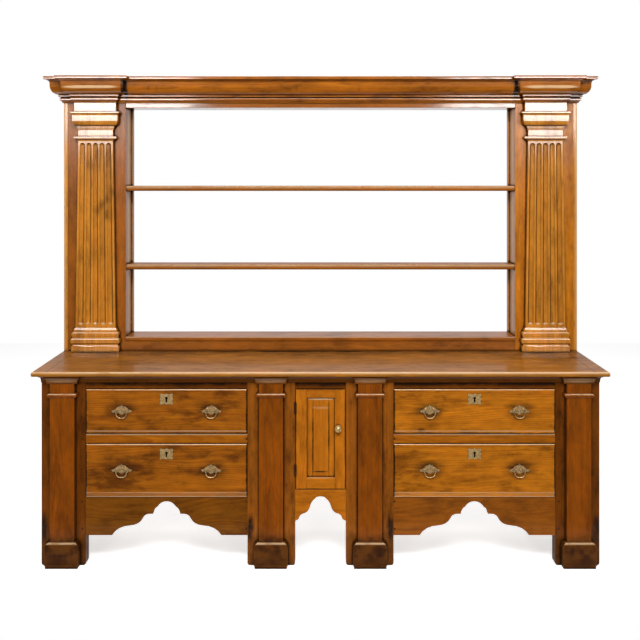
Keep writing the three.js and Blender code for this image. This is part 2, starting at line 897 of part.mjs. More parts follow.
// One flute: a long cone with a round end above and below, laid on the shaft's face
function flute(index) {
  const place = index - (fluteCount - 1) / 2;
  const bottomZ = baseTop + pedestalHeight + fluteBottomMargin;
  const topZ = corniceBottom - capitalHeight - fluteTopMargin;
  const length = topZ - bottomZ;
  const bottomX = place * fluteBottomPitch;
  const topX = place * fluteTopPitch;
  const path = new THREE.Path();
  path.moveTo(0, 0);
  path.absarc(0, fluteBottomWidth / 2, fluteBottomWidth / 2, -Math.PI / 2, 0);
  path.absarc(0, length - fluteTopWidth / 2, fluteTopWidth / 2, 0, Math.PI / 2);
  const cutter = new THREE.LatheGeometry(path.getPoints(curveSteps / 2), roundSides);
  cutter.rotateX(Math.PI / 2);
  cutter.scale(1, fluteDepthShare, 1);
  cutter.rotateY(Math.atan2(topX - bottomX, length));
  cutter.translate(bottomX, -shaftProud, bottomZ);
  return toSolid(cutter);
}

function flutedShaft() {
  const bottom = baseTop + pedestalHeight;
  const top = corniceBottom - capitalHeight;
  const face = shapeFrom([
    [-shaftBottomWidth / 2, bottom],
    [shaftBottomWidth / 2, bottom],
    [shaftTopWidth / 2, top],
    [-shaftTopWidth / 2, top],
  ]);
  const flutes = Array.from({ length: fluteCount }, (_, index) => flute(index));
  return extrudeAlongY(face, [-shaftProud, 0]).subtract(joined(flutes));
}

function rackPilaster() {
  const pedestal = mitredBlock({
    halfWidth: shaftBottomWidth / 2,
    wallY: 0,
    proud: shaftProud,
    profile: outlineFrom(pedestalShares, pedestalProjection, pedestalHeight, baseTop),
    frontShare: shaftFrontShare,
  });
  const capital = mitredBlock({
    halfWidth: shaftTopWidth / 2,
    wallY: 0,
    proud: shaftProud,
    profile: outlineFrom(
      capitalShares,
      capitalProjection,
      capitalHeight,
      corniceBottom - capitalHeight,
    ),
    frontShare: shaftFrontShare,
  });
  return joined([flutedShaft(), pedestal, capital]);
}

function rackCornice() {
  const profile = outlineFrom(corniceShares, corniceProjection, corniceHeight, corniceBottom);
  return breakFrontMoulding({
    halfWidth: rackHalf,
    wallY: rackFaceY,
    profile,
    breakCentres: [-rackPilasterX, rackPilasterX],
    breakWidth: corniceBreakWidth,
    breakForward: shaftProud + capitalProjection * shaftFrontShare / 2,
  });
}

// The frieze board between the stiles, with the top board behind it
function rackTopBoards() {
  return joined([
    slab([-stileInner, stileInner], [rackFaceY, rackFaceY + headerThickness], [headerBottom, rackTop]),
    slab([-stileInner, stileInner], [rackFaceY, backY], [headerBottom, headerBottom + headerHeight]),
  ]);
}

// A shelf with a rounded lip along its front edge
function shelf(bottom) {
  const top = bottom + shelfThickness;
  const lipY = rackFaceY + shelfSetback;
  const lip = shelfThickness / 2;
  const shape = new THREE.Shape();
  shape.moveTo(lipY + lip / 2, bottom);
  shape.quadraticCurveTo(lipY, bottom, lipY, bottom + lip);
  shape.quadraticCurveTo(lipY, top, lipY + lip / 2, top);
  shape.lineTo(backY - rackBattenDepth, top);
  shape.lineTo(backY - rackBattenDepth, bottom);
  return extrudeAlongX(shape, [-stileInner, stileInner]);
}

// The rack's floor board, notched round both battens, and the rail under its front edge
function rackBottomRail() {
  const floor = [baseTop + rackRailHeight, rackFloorTop];
  const nose = rackFloorThickness / 2;
  const lipY = rackFaceY - rackFloorNosing;
  const shape = new THREE.Shape();
  shape.moveTo(lipY + rackFloorNosing, floor[0]);
  shape.quadraticCurveTo(lipY, floor[0], lipY, floor[0] + nose);
  shape.quadraticCurveTo(lipY, floor[1], lipY + rackFloorNosing, floor[1]);
  shape.lineTo(backY, floor[1]);
  shape.lineTo(backY, floor[0]);
  const board = extrudeAlongX(shape, [-stileInner, stileInner]);
  return joined([
    board.subtract(joined([rackBatten(-1), rackBatten(1)])),
    slab([-stileInner, stileInner], [rackFaceY, rackFaceY + headerThickness], [baseTop, rackFloorTop]),
  ]);
}

// Assembly

const finishes = {
  pine: { color: 0xa9692a, roughness: 0.4, metalness: 0 },
  darkPine: { color: 0x6f3f17, roughness: 0.5, metalness: 0 },
  rawPine: { color: 0xc09a63, roughness: 0.8, metalness: 0 },
  brass: { color: 0xa08a55, roughness: 0.4, metalness: 1 },
  iron: { color: 0x3b3631, roughness: 0.6, metalness: 1 },
};

const dresser = new THREE.Group();

function place(name, solid, finish, position = [0, 0, 0]) {
  const material = new THREE.MeshStandardMaterial(finishes[finish]);
  const mesh = new THREE.Mesh(toGeometry(solid), material);
  mesh.name = name;
  mesh.position.set(...position);
  dresser.add(mesh);
}

const sides = { left: -1, right: 1 };

function placeBase() {
  place('top_board', topBoard(), 'pine');
  place('top_moulding', topMoulding(), 'pine');
  place('top_rail', topRail(), 'pine');
  place('apron_centre', centreApron(), 'pine');
  place('cupboard_box', cupboardBox(), 'rawPine');
  place('back_boards', backBoards(), 'rawPine');
  for (const [name, side] of Object.entries(sides)) {
    place(`post_outer_${name}`, outerPost(side), 'darkPine');
    place(`post_inner_${name}`, innerPost(side), 'darkPine');
    place(`pilaster_outer_${name}`, basePilaster(side * outerPilasterX), 'pine');
    place(`pilaster_inner_${name}`, basePilaster(side * innerPilasterX), 'pine');
    place(`end_panel_${name}`, endPanel(side), 'pine');
    place(`drawer_rails_${name}`, drawerRails(side), 'pine');
    place(`apron_${name}`, sideApron(side), 'pine');
  }
}

function placeDrawer(name, side, tier) {
  place(`drawer_front_${name}`, drawerFront(side, tier), 'pine');
  place(`drawer_box_${name}`, drawerBox(side, tier), 'rawPine');
  const { frontFace, upright } = drawerSizes(side, tier);
  const middle = (upright[0] + upright[1]) / 2 + handleRise;
  for (const [index, offset] of [-handleSpread / 2, handleSpread / 2].entries()) {
    const x = side * bayCentre + offset;
    place(`handle_plate_${name}_${index + 1}`, handlePlate(), 'brass', [x, frontFace, middle]);
    place(`bail_${name}_${index + 1}`, bail(), 'brass', [x, frontFace - pivotReach(), middle]);
  }
}

function placeDoor() {
  const pinX = -doorwayHalf + doorGap / 2;
  const pinY = faceY - hingeKnuckleRadius - seatGap;
  place('door_frame', doorFrame(), 'pine');
  place('door_panel', doorPanel(), 'pine');
  place('door_knob', doorKnob(), 'brass', [knobX, faceY - seatGap, knobZ]);
  place('hinge_upper', hinge(), 'iron', [pinX, pinY, doorTop - hingeInset]);
  place('hinge_lower', hinge(), 'iron', [pinX, pinY, doorBottom + hingeInset]);
}

function placeRack() {
  place('rack_cornice', rackCornice(), 'pine');
  place('rack_top', rackTopBoards(), 'pine');
  place('shelf_lower', shelf(lowerShelfBottom), 'pine');
  place('shelf_upper', shelf(upperShelfBottom), 'pine');
  place('rack_bottom_rail', rackBottomRail(), 'pine');
  for (const [name, side] of Object.entries(sides)) {
    place(`rack_side_${name}`, rackSide(side), 'pine');
    place(`rack_stile_${name}`, rackStile(side), 'pine');
    place(`rack_pilaster_${name}`, rackPilaster(), 'pine', [side * rackPilasterX, rackFaceY, 0]);
  }
}

placeBase();
for (const tier of ['upper', 'lower']) {
  for (const [name, side] of Object.entries(sides)) {
    placeDrawer(`${tier}_${name}`, side, tier);
  }
}
placeDoor();
placeRack();

export default dresser;
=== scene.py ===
"""A wide pine dresser, dressed for its picture.

A low base with drawers and a small cupboard between pilasters carries an open plate rack with
fluted pilasters and a break-front cornice. Lengths are in metres. +Z is up and the front faces -Y.
"""

import json
import logging
import random
from collections.abc import Callable
from dataclasses import dataclass
from enum import Enum
from math import cos, pi, radians, sin

import bmesh
import bpy
from mathutils import Euler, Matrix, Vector


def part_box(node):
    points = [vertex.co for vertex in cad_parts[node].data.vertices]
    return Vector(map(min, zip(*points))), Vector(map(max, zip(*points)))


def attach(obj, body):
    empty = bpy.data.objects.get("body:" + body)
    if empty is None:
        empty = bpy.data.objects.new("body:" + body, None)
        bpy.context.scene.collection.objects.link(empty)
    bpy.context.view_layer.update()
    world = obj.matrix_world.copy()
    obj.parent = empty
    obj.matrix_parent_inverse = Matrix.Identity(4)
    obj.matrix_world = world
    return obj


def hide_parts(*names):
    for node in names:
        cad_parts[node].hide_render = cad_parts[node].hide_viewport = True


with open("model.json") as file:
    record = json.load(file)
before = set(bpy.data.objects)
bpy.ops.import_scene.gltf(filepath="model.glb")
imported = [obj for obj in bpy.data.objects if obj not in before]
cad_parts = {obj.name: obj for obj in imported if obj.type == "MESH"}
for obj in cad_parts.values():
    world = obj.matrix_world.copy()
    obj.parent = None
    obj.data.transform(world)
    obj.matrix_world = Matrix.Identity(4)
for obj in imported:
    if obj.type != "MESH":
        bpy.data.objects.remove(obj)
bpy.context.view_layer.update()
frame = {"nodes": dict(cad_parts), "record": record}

LOG = logging.getLogger("dresser")

Colour = tuple[float, float, float]
Point = tuple[float, float, float]
Piece = bpy.types.Object
Socket = bpy.types.NodeSocket

SIDES = {"left": -1, "right": 1}
TIERS = ("upper", "lower")

# Edges over SHARP are rounded, and faces that meet under FLAT become one again
SHARP = radians(32)
FLAT = radians(0.4)
MERGE_GAP = 0.00001

# How sharp an edge of metal stays sharp, in degrees, and the rounding of thin boards
METAL_ANGLE = 40.0
THIN_ROUNDING = 0.001

# The turn that makes a new primitive, or the camera, look along Y
TO_FRONT = (pi / 2, 0, 0)


class Grain(Enum):
    """Which way the grain of a board runs, as the turn that lays it along the local Z."""

    ALONG_X = (0.0, -pi / 2, 0.0)
    ALONG_Y = (pi / 2, 0.0, 0.0)
    UPRIGHT = (0.0, 0.0, 0.0)


# Modelling by hand


def clear_selection() -> None:
    """Deselect everything, so that a new primitive stands alone."""
    bpy.ops.object.select_all(action="DESELECT")


def leave_edit() -> None:
    """Go back to object mode."""
    bpy.ops.object.mode_set(mode="OBJECT")


def edit_all() -> None:
    """Enter edit mode on the active piece with all of it selected."""
    bpy.ops.object.mode_set(mode="EDIT")
    bpy.ops.mesh.select_all(action="SELECT")


def pick(piece: Piece) -> None:
    """Leave one object selected and active.

    Args:
        piece: The object to work on next.
    """
    active = bpy.context.view_layer.objects.active
    if active and active.mode != "OBJECT":
        leave_edit()
    clear_selection()
    piece.select_set(True)
    bpy.context.view_layer.objects.active = piece


def settle(piece: Piece) -> None:
    """Write an object's place, turn and size into its mesh."""
    pick(piece)
    bpy.ops.object.transform_apply(location=True, rotation=True, scale=True)


def apply_modifier(piece: Piece, kind: str, **settings: object) -> None:
    """Add one modifier with its settings and apply it.

    Args:
        piece: The mesh that gets the modifier.
        kind: The modifier's type.
        settings: Values for the modifier's own properties.
    """
    pick(piece)
    modifier = piece.modifiers.new(kind.title(), kind)
    for name, value in settings.items():
        setattr(modifier, name, value)
    bpy.ops.object.modifier_apply(modifier=modifier.name)


def choose(piece: Piece, kind: str, parts: list) -> None:
    """Select only some parts of a piece in edit mode.

    Args:
        piece: The piece.
        kind: What the parts are: "verts", "edges" or "faces".
        parts: The parts.
    """
    bpy.ops.mesh.select_mode(type=kind[:4].upper())
    bpy.ops.mesh.select_all(action="DESELECT")
    for part in parts:
        part.select_set(True)
    bmesh.update_edit_mesh(piece.data)


def grab(piece: Piece, kind: str, chosen: Callable[[object], bool]) -> int:
    """Enter edit mode with only some parts of a piece selected.

    Args:
        piece: The piece.
        kind: What is chosen from: "verts", "edges" or "faces".
        chosen: Says of each part whether it is selected.

    Returns:
        How many parts are selected.
    """
    pick(piece)
    bpy.ops.object.mode_set(mode="EDIT")
    shape = bmesh.from_edit_mesh(piece.data)
    found = [part for part in getattr(shape, kind) if chosen(part)]
    choose(piece, kind, found)
    return len(found)


def cut_away(piece: Piece, cutter: Piece) -> None:
    """Cut one mesh out of a piece and remove it."""
    apply_modifier(piece, "BOOLEAN", object=cutter, operation="DIFFERENCE", solver="EXACT")
    bpy.data.objects.remove(cutter)


def smooth(piece: Piece, angle: float = 35.0) -> None:
    """Shade a mesh smooth, with its wide faces still flat.

    Args:
        piece: The mesh.
        angle: Edges sharper than this many degrees stay sharp.
    """
    pick(piece)
    bpy.ops.object.shade_smooth_by_angle(angle=radians(angle))
    apply_modifier(piece, "WEIGHTED_NORMAL", keep_sharp=True)


def merged_copy(node: str) -> Piece:
    """Copy a CAD node as one merged mesh with its flat faces whole again.

    Args:
        node: The CAD node's name.

    Returns:
        The copy, at the origin, without a parent or a material.
    """
    mesh = frame["nodes"][node].data.copy()
    mesh.materials.clear()
    piece = bpy.data.objects.new(f"{node}_dressed", mesh)
    bpy.context.scene.collection.objects.link(piece)
    pick(piece)
    bpy.ops.mesh.customdata_custom_splitnormals_clear()
    edit_all()
    bpy.ops.mesh.remove_doubles(threshold=MERGE_GAP)
    bpy.ops.mesh.dissolve_limited(angle_limit=FLAT)
    leave_edit()
    return piece


def soften_edges(piece: Piece, width: float, shortest: float = 0.02, steps: int = 2) -> None:
    """Round the long sharp edges of a mesh, as years of polishing do.

    Args:
        piece: The mesh to work on.
        width: How far the rounding reaches from the edge.
        shortest: Edges shorter than this stay as they are.
        steps: How many faces the rounding has.
    """

    def is_sharp(edge: bmesh.types.BMEdge) -> bool:
        """Say whether an edge is sharp and long enough."""
        return edge.is_manifold and edge.calc_face_angle(0.0) > SHARP and edge.calc_length() >= shortest

    if grab(piece, "edges", is_sharp):
        bpy.ops.mesh.bevel(offset=width, segments=steps, affect="EDGES", clamp_overlap=True)
    bpy.ops.mesh.select_mode(type="VERT")
    leave_edit()


# Shader sheets

SOCKET_KINDS = {type(None): "NodeSocketVector", float: "NodeSocketFloat", tuple: "NodeSocketColor"}
CORNER_SAMPLES = 6
BUMP_STRENGTH = 0.5
PINE_RELIEF = 0.0009
METAL_RELIEF = 0.0003


class Sheet:
    """Adds nodes to one node tree and joins them up."""

    def __init__(self, tree: bpy.types.NodeTree) -> None:
        """Work on the given tree."""
        self.tree = tree

    def join(self, node: bpy.types.Node, inputs: dict) -> None:
        """Fill a node's inputs.

        Args:
            node: The node.
            inputs: Values or sockets, by name or number. None leaves an input as it is.
        """
        for key, value in inputs.items():
            if isinstance(value, Socket):
                self.tree.links.new(value, node.inputs[key])
            elif value is not None:
                node.inputs[key].default_value = value

    def add(self, kind: str, inputs: dict | None = None, **settings: object) -> bpy.types.Node:
        """Add a node.

        Args:
            kind: The node's type.
            inputs: Values or sockets for its inputs, by name or number.
            settings: Values for the node's own properties.

        Returns:
            The new node.
        """
        node = self.tree.nodes.new(kind)
        for name, value in settings.items():
            setattr(node, name, value)
        self.join(node, inputs or {})
        return node

    def math(self, operation: str, *values: object, clamp: bool = False) -> Socket:
        """Work out one sum.

        Args:
            operation: The node's word for the sum.
            values: Its one, two or three numbers or sockets.
            clamp: Whether the result stays between 0 and 1.

        Returns:
            The result.
        """
        node = self.add("ShaderNodeMath", dict(enumerate(values)), operation=operation, use_clamp=clamp)
        return node.outputs[0]

    def times(self, first: object, second: object, clamp: bool = False) -> Socket:
        """Multiply two values."""
        return self.math("MULTIPLY", first, second, clamp=clamp)

    def plus(self, first: object, second: object) -> Socket:
        """Add two values."""
        return self.math("ADD", first, second)

    def most(self, first: object, second: object, clamp: bool = False) -> Socket:
        """Take the larger of two values."""
        return self.math("MAXIMUM", first, second, clamp=clamp)

    def rest(self, value: object) -> Socket:
        """Take a value away from 1."""
        return self.math("SUBTRACT", 1.0, value)

    def vector(self, operation: str, *values: object) -> Socket:
        """Work out one sum of vectors."""
        return self.add("ShaderNodeVectorMath", dict(enumerate(values)), operation=operation).outputs[0]

    def span(self, value: object, low: float, high: float, start: float = 0.0, end: float = 1.0) -> Socket:
        """Stretch a value smoothly from one range to another.

        Args:
            value: The value's socket.
            low: Where the first range starts.
            high: Where the first range ends.
            start: What low becomes.
            end: What high becomes.

        Returns:
            The result.
        """
        inputs = {0: value, 1: low, 2: high, 3: start, 4: end}
        return self.add("ShaderNodeMapRange", inputs, interpolation_type="SMOOTHSTEP").outputs[0]

    def noise(self, vector: object, scale: object, detail: float = 2.0, roughness: float = 0.5) -> Socket:
        """Add a noise pattern.

        Args:
            vector: The place it is read at.
            scale: Its scale, or one scale for each axis.
            detail: How many finer layers it has.
            roughness: How strong the finer layers are.

        Returns:
            Its value, from 0 to 1.
        """
        if isinstance(scale, tuple):
            vector, scale = self.vector("MULTIPLY", vector, scale), 1.0
        inputs = {"Vector": vector, "Scale": scale, "Detail": detail, "Roughness": roughness}
        return self.add("ShaderNodeTexNoise", inputs).outputs[0]

    def hollow(self, distance: float, low: float, high: float, **settings: object) -> Socket:
        """Mark where a surface is shut in.

        Args:
            distance: How far the other surfaces may be.
            low: How shut in it is where the mark starts.
            high: How shut in it is where the mark is full.
            settings: Values for the node's own properties.

        Returns:
            The mark, from 0 to 1.
        """
        inputs = {"Distance": distance}
        near = self.add("ShaderNodeAmbientOcclusion", inputs, samples=CORNER_SAMPLES, **settings)
        return self.span(self.rest(near.outputs["AO"]), low, high)

    def blend(self, factor: object, first: object, second: object, kind: str = "MIX") -> Socket:
        """Mix two colours.

        Args:
            factor: How much of the second one there is.
            first: The colour underneath.
            second: The colour laid over it.
            kind: How it is laid over.

        Returns:
            The mixed colour.
        """
        under, over = [(*value, 1.0) if isinstance(value, tuple) else value for value in (first, second)]
        inputs = {0: factor, 6: under, 7: over}
        node = self.add("ShaderNodeMix", inputs, data_type="RGBA", blend_type=kind, clamp_result=False)
        return node.outputs[2]

    def shade(self, pattern: bpy.types.Node, relief: float, inputs: dict[str, object]) -> None:
        """Put a pattern on a Principled shader and send it out.

        Args:
            pattern: The group with the colour, the roughness and the height.
            relief: How far its height reaches.
            inputs: The shader's other inputs.
        """
        height = {"Height": pattern.outputs["Height"], "Strength": BUMP_STRENGTH, "Distance": relief}
        look = {
            "Base Color": pattern.outputs["Color"],
            "Roughness": pattern.outputs["Roughness"],
            "Normal": self.add("ShaderNodeBump", height).outputs[0],
        }
        shader = self.add("ShaderNodeBsdfPrincipled", look | inputs)
        self.add("ShaderNodeOutputMaterial", {0: shader.outputs[0]})


def new_material(name: str) -> tuple[bpy.types.Material, Sheet]:
    """Start a material.

    Args:
        name: Its name.

    Returns:
        The material and its empty sheet.
    """
    material = bpy.data.materials.new(name)
    material.use_nodes = True
    material.node_tree.nodes.clear()
    return material, Sheet(material.node_tree)


def new_group(
    name: str, inputs: dict[str, object], values: tuple[str, ...]
) -> tuple[Sheet, dict[str, Socket], bpy.types.Node]:
    """Start a shader node group.

    Args:
        name: The group's name.
        inputs: Its inputs, each with a default: a number, a colour of 4 numbers or None for a vector.
        values: The names of its outputs beside the colour.

    Returns:
        Its sheet, its input sockets by name, and its output node.
    """
    tree = bpy.data.node_groups.new(name, "ShaderNodeTree")
    for label, value in inputs.items():
        socket = tree.interface.new_socket(name=label, in_out="INPUT", socket_type=SOCKET_KINDS[type(value)])
        if value is not None:
            socket.default_value = value
    tree.interface.new_socket(name="Color", in_out="OUTPUT", socket_type="NodeSocketColor")
    for label in values:
        tree.interface.new_socket(name=label, in_out="OUTPUT", socket_type="NodeSocketFloat")
    sheet = Sheet(tree)
    entry = sheet.add("NodeGroupInput")
    leave = sheet.add("NodeGroupOutput")
    return sheet, {label: entry.outputs[label] for label in inputs}, leave


# What lies on the wood: its own colours, and painted shade and painted highlights
KNOT_CORE = (0.018, 0.008, 0.003)
FOOT_BROWN = (0.085, 0.03, 0.004)
FOOT_BLACK = (0.012, 0.004, 0.001)
FOOT_SOLE = (0.02, 0.007, 0.001)
# Dark patches: real dirt and knots, and painted shade and painted shadows
DIRT_AND_SHADE_COLOUR = (0.022, 0.008, 0.002)
# Pale patches: painted highlights and painted reflections
PAINTED_HIGHLIGHT = (0.72, 0.46, 0.24)
# Corners and seams: old polish and painted shade
CORNER_DIRT_AND_SHADE = (0.014, 0.005, 0.001)
# Painted shade on one side of each flute and under its top
FLUTE_SHADE = (0.09, 0.032, 0.006)
# Painted highlight on rounded edges that look up and forward
PAINTED_EDGE_HIGHLIGHT = (0.78, 0.5, 0.27)

# How much lighter thin stain and rubbed edges are, by channel
THIN_STAIN = (1.5, 1.42, 1.3)
RUBBED = (1.5, 1.75, 2.4)


def pine_board_group() -> bpy.types.NodeTree:
    """Make the pattern of a waxed pine board.

    Growth rings stand round a pith behind the board, bend round knots and wobble along the
    grain. Over them lie fine fibres, a patchy stain, dirt and painted shade in the corners,
    painted shade in the flutes, rubbed edges and painted highlights on edges that look up.

    Returns:
        The node group.
    """
    sheet, given, leave = new_group(
        "PineBoard",
        dict.fromkeys(("Grain", "Place"))
        | dict.fromkeys(("Early", "Late", "Stain"), (0.0, 0.0, 0.0, 1.0))
        | dict.fromkeys(("Ring Width", "Ring Depth", "Stain Amount", "Knots", "Dirt", "Wear"), 0.0)
        | dict.fromkeys(("Foot Dark", "DirtAndShadingMark", "Pale", "Gleam", "Dark Side", "Wax"), 0.0),
        ("Roughness", "Height", "Wax"),
    )
    grain, place = given["Grain"], given["Place"]
    math, times, plus, most = sheet.math, sheet.times, sheet.plus, sheet.most
    span, blend, noise = sheet.span, sheet.blend, sheet.noise
    slow = sheet.vector("MULTIPLY", grain, (3.0, 3.0, 0.9))
    sway = sheet.add("ShaderNodeTexNoise", {"Vector": slow, "Scale": 1.6, "Detail": 2.0, "Roughness": 0.45})
    centred = sheet.vector("SUBTRACT", sway.outputs[1], (0.5, 0.5, 0.5))
    swung = sheet.vector("MULTIPLY_ADD", centred, (0.07, 0.07, 0.0), grain)
    apart = sheet.add("ShaderNodeSeparateXYZ", {0: swung}).outputs
    radius = math("SQRT", plus(times(apart[0], apart[0]), times(apart[1], apart[1])))

    # Knots: rare cells, each with a dark core and a bend in the rings round it
    flat = sheet.vector("MULTIPLY", grain, (1.0, 0.25, 0.55))
    cells = sheet.add("ShaderNodeTexVoronoi", {"Vector": flat, "Scale": 6.5, "Randomness": 0.9}).outputs
    choice = sheet.add("ShaderNodeSeparateColor", {0: cells["Color"]}).outputs[0]
    present = span(math("SUBTRACT", choice, sheet.rest(given["Knots"])), 0.0, 0.05)
    reach = plus(cells["Distance"], times(noise(grain, 40.0, 1.0), 0.03))
    core = times(span(reach, 0.105, 0.045), present)
    halo = times(span(reach, 0.34, 0.06), present)

    # Growth rings, some years stronger than others, and fine fibres
    turns = math("DIVIDE", math("SUBTRACT", radius, times(halo, 0.012)), given["Ring Width"])
    step = math("FRACT", plus(turns, times(noise(grain, (30.0, 30.0, 2.0)), 1.1)))
    ring = times(span(step, 0.1, 0.84), span(step, 1.0, 0.9))
    years = {"W": times(turns, 0.19), "Scale": 1.0, "Detail": 3.0, "Roughness": 0.7}
    season = sheet.add("ShaderNodeTexNoise", years, noise_dimensions="1D").outputs[0]
    rings = times(times(ring, span(season, 0.3, 0.68, 0.25, 1.0)), given["Ring Depth"])
    fibre = noise(grain, (420.0, 420.0, 9.0), 3.0, 0.6)
    streak = noise(grain, (60.0, 60.0, 1.6), 3.0, 0.6)
    fine = times(math("SUBTRACT", fibre, 0.5), 0.6)
    coarse = math("MULTIPLY_ADD", math("SUBTRACT", streak, 0.5), 1.3, 0.25)
    wood = blend(math("ADD", rings, plus(fine, coarse), clamp=True), given["Early"], given["Late"])

    # The stain lies thick in some places and is worn thin in others
    broad = noise(grain, (5.0, 5.0, 2.2), 4.0, 0.62)
    patch = noise(grain, (26.0, 26.0, 9.0), 4.0, 0.7)
    cloud = plus(times(broad, 0.5), times(patch, 0.5))
    thick = times(span(cloud, 0.47, 0.66), given["Stain Amount"], clamp=True)
    stained = blend(thick, wood, given["Stain"])
    thin = span(cloud, 0.5, 0.36, 0.0, 0.6)
    stained = blend(thin, stained, blend(1.0, stained, THIN_STAIN, "MULTIPLY"))
    knotted = blend(times(halo, 0.5), stained, given["Stain"])
    knotted = blend(times(core, 0.92), knotted, KNOT_CORE)

    # Feet darken towards the floor, and over them lie the dark patches of dirt and painted shade and the pale
    # patches of painted highlight
    height = sheet.add("ShaderNodeSeparateXYZ", {0: place}).outputs[2]
    scorch = noise(place, 19.0, 3.0)
    low = times(span(plus(height, times(scorch, -0.05)), 0.14, 0.085), given["Foot Dark"], clamp=True)
    foot = blend(span(scorch, 0.42, 0.66), FOOT_BROWN, FOOT_BLACK)
    foot = blend(span(height, 0.07, 0.0, 0.0, 0.7), foot, FOOT_SOLE)
    footed = blend(times(low, 0.85), knotted, foot)
    painted_mark = times(given["DirtAndShadingMark"], span(patch, 0.35, 0.58, 0.5, 1.1), clamp=True)
    footed = blend(painted_mark, footed, DIRT_AND_SHADE_COLOUR)
    pale = times(given["Pale"], span(patch, 0.3, 0.55, 0.45, 1.0), clamp=True)
    footed = blend(pale, footed, PAINTED_HIGHLIGHT)

    # Corners and seams darken, as old polish and as painted shade, and edges are rubbed pale
    seam_dirt_and_shade = sheet.hollow(0.012, 0.1, 0.4)
    corner_dirt_and_shade = most(times(sheet.hollow(0.022, 0.15, 0.75), span(patch, 0.3, 0.62, 0.5, 0.95)), seam_dirt_and_shade)
    soiled_and_shaded = blend(times(corner_dirt_and_shade, given["Dirt"], clamp=True), footed, CORNER_DIRT_AND_SHADE)
    rim = sheet.hollow(0.007, 0.25, 0.7, inside=True, only_local=True)
    rubbed = times(times(rim, span(patch, 0.38, 0.56)), given["Wear"], clamp=True)
    worn_and_shaded = blend(rubbed, soiled_and_shaded, blend(1.0, given["Early"], RUBBED, "MULTIPLY"))

    # Painted shade on one side of each flute and on faces that look down, under its top
    normal = sheet.add("ShaderNodeTexCoord").outputs["Normal"]
    facing = sheet.add("ShaderNodeSeparateXYZ", {0: normal}).outputs
    aside = span(times(facing[0], given["Dark Side"]), 0.22, 0.55)
    under = times(facing[2], math("ABSOLUTE", given["Dark Side"]))
    under = span(times(under, -1.0), 0.2, 0.55)
    worn_and_shaded = blend(times(most(aside, under), 0.85), worn_and_shaded, FLUTE_SHADE)

    # Painted highlight on rounded edges that look up and forward
    lifted = span(facing[2], 0.22, 0.5)
    forward = span(times(facing[1], -1.0), 0.12, 0.4)
    gleam = times(times(lifted, forward), span(patch, 0.35, 0.5, 0.6, 1.0))
    gleam = times(times(gleam, sheet.rest(seam_dirt_and_shade)), given["Gleam"], clamp=True)
    worn_and_shaded = blend(gleam, worn_and_shaded, PAINTED_EDGE_HIGHLIGHT)

    rough = plus(0.34, plus(times(patch, 0.22), times(corner_dirt_and_shade, 0.3)))
    dents = span(noise(place, 34.0, 3.0, 0.55), 0.3, 0.5, -1.0, 0.0)
    relief = times(rings, -0.5)
    for part, depth in ((fibre, -0.5), (dents, 0.9), (noise(place, 7.0, 1.0), 2.5)):
        relief = plus(relief, times(part, depth))

    # The wax is thin where corners hold old polish and painted shade, and near the floor
    lost = most(times(low, 0.75), times(corner_dirt_and_shade, 0.95))
    lost = most(lost, span(patch, 0.52, 0.72, 0.0, 0.4), clamp=True)
    wax = times(times(given["Wax"], sheet.rest(lost)), span(height, 0.16, 0.4, 0.2, 1.0))
    sheet.join(leave, {"Color": worn_and_shaded, "Roughness": rough, "Height": relief, "Wax": wax})
    return sheet.tree


def old_metal_group() -> bpy.types.NodeTree:
    """Make the pattern of handled, tarnished metal.

    Returns:
        The node group, with a colour, a roughness and a height.
    """
    sheet, given, leave = new_group(
        "OldMetal",
        {"Place": None}
        | dict.fromkeys(("Bright", "Tarnish"), (0.0, 0.0, 0.0, 1.0))
        | dict.fromkeys(("Tarnish Amount", "Scale"), 0.0),
        ("Roughness", "Height"),
    )
    patch = sheet.noise(given["Place"], given["Scale"], 4.0, 0.65)
    speck = sheet.noise(given["Place"], 700.0)
    dull = sheet.times(sheet.span(patch, 0.4, 0.62), given["Tarnish Amount"])
    dull = sheet.most(dull, sheet.times(sheet.hollow(0.008, 0.15, 0.8), 0.9))
    colour = sheet.blend(sheet.most(dull, 0.0, clamp=True), given["Bright"], given["Tarnish"])
    rough = sheet.plus(0.26, sheet.plus(sheet.times(dull, 0.3), sheet.times(speck, 0.12)))
    height = sheet.plus(speck, sheet.times(patch, 1.5))
    sheet.join(leave, {"Color": colour, "Roughness": rough, "Height": height})
    return sheet.tree


PINE_BOARD = pine_board_group()
OLD_METAL = old_metal_group()
RECORD = frame["record"]
BODY_OF = {node: body for body, nodes in RECORD["behaviour"]["bodies"].items() for node in nodes}
SLOT_OF = {row["node"]: row["material_slot"] for row in RECORD["subparts"]}


def middle(node: str) -> Vector:
    """Find the middle of a CAD node's box."""
    low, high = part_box(node)
    return (low + high) / 2


# Finishes


@dataclass(frozen=True)
class PineTone:
    """The colours of one lot of boards: spring wood, summer wood and the stain over them."""

    early: Colour
    late: Colour
    stain: Colour


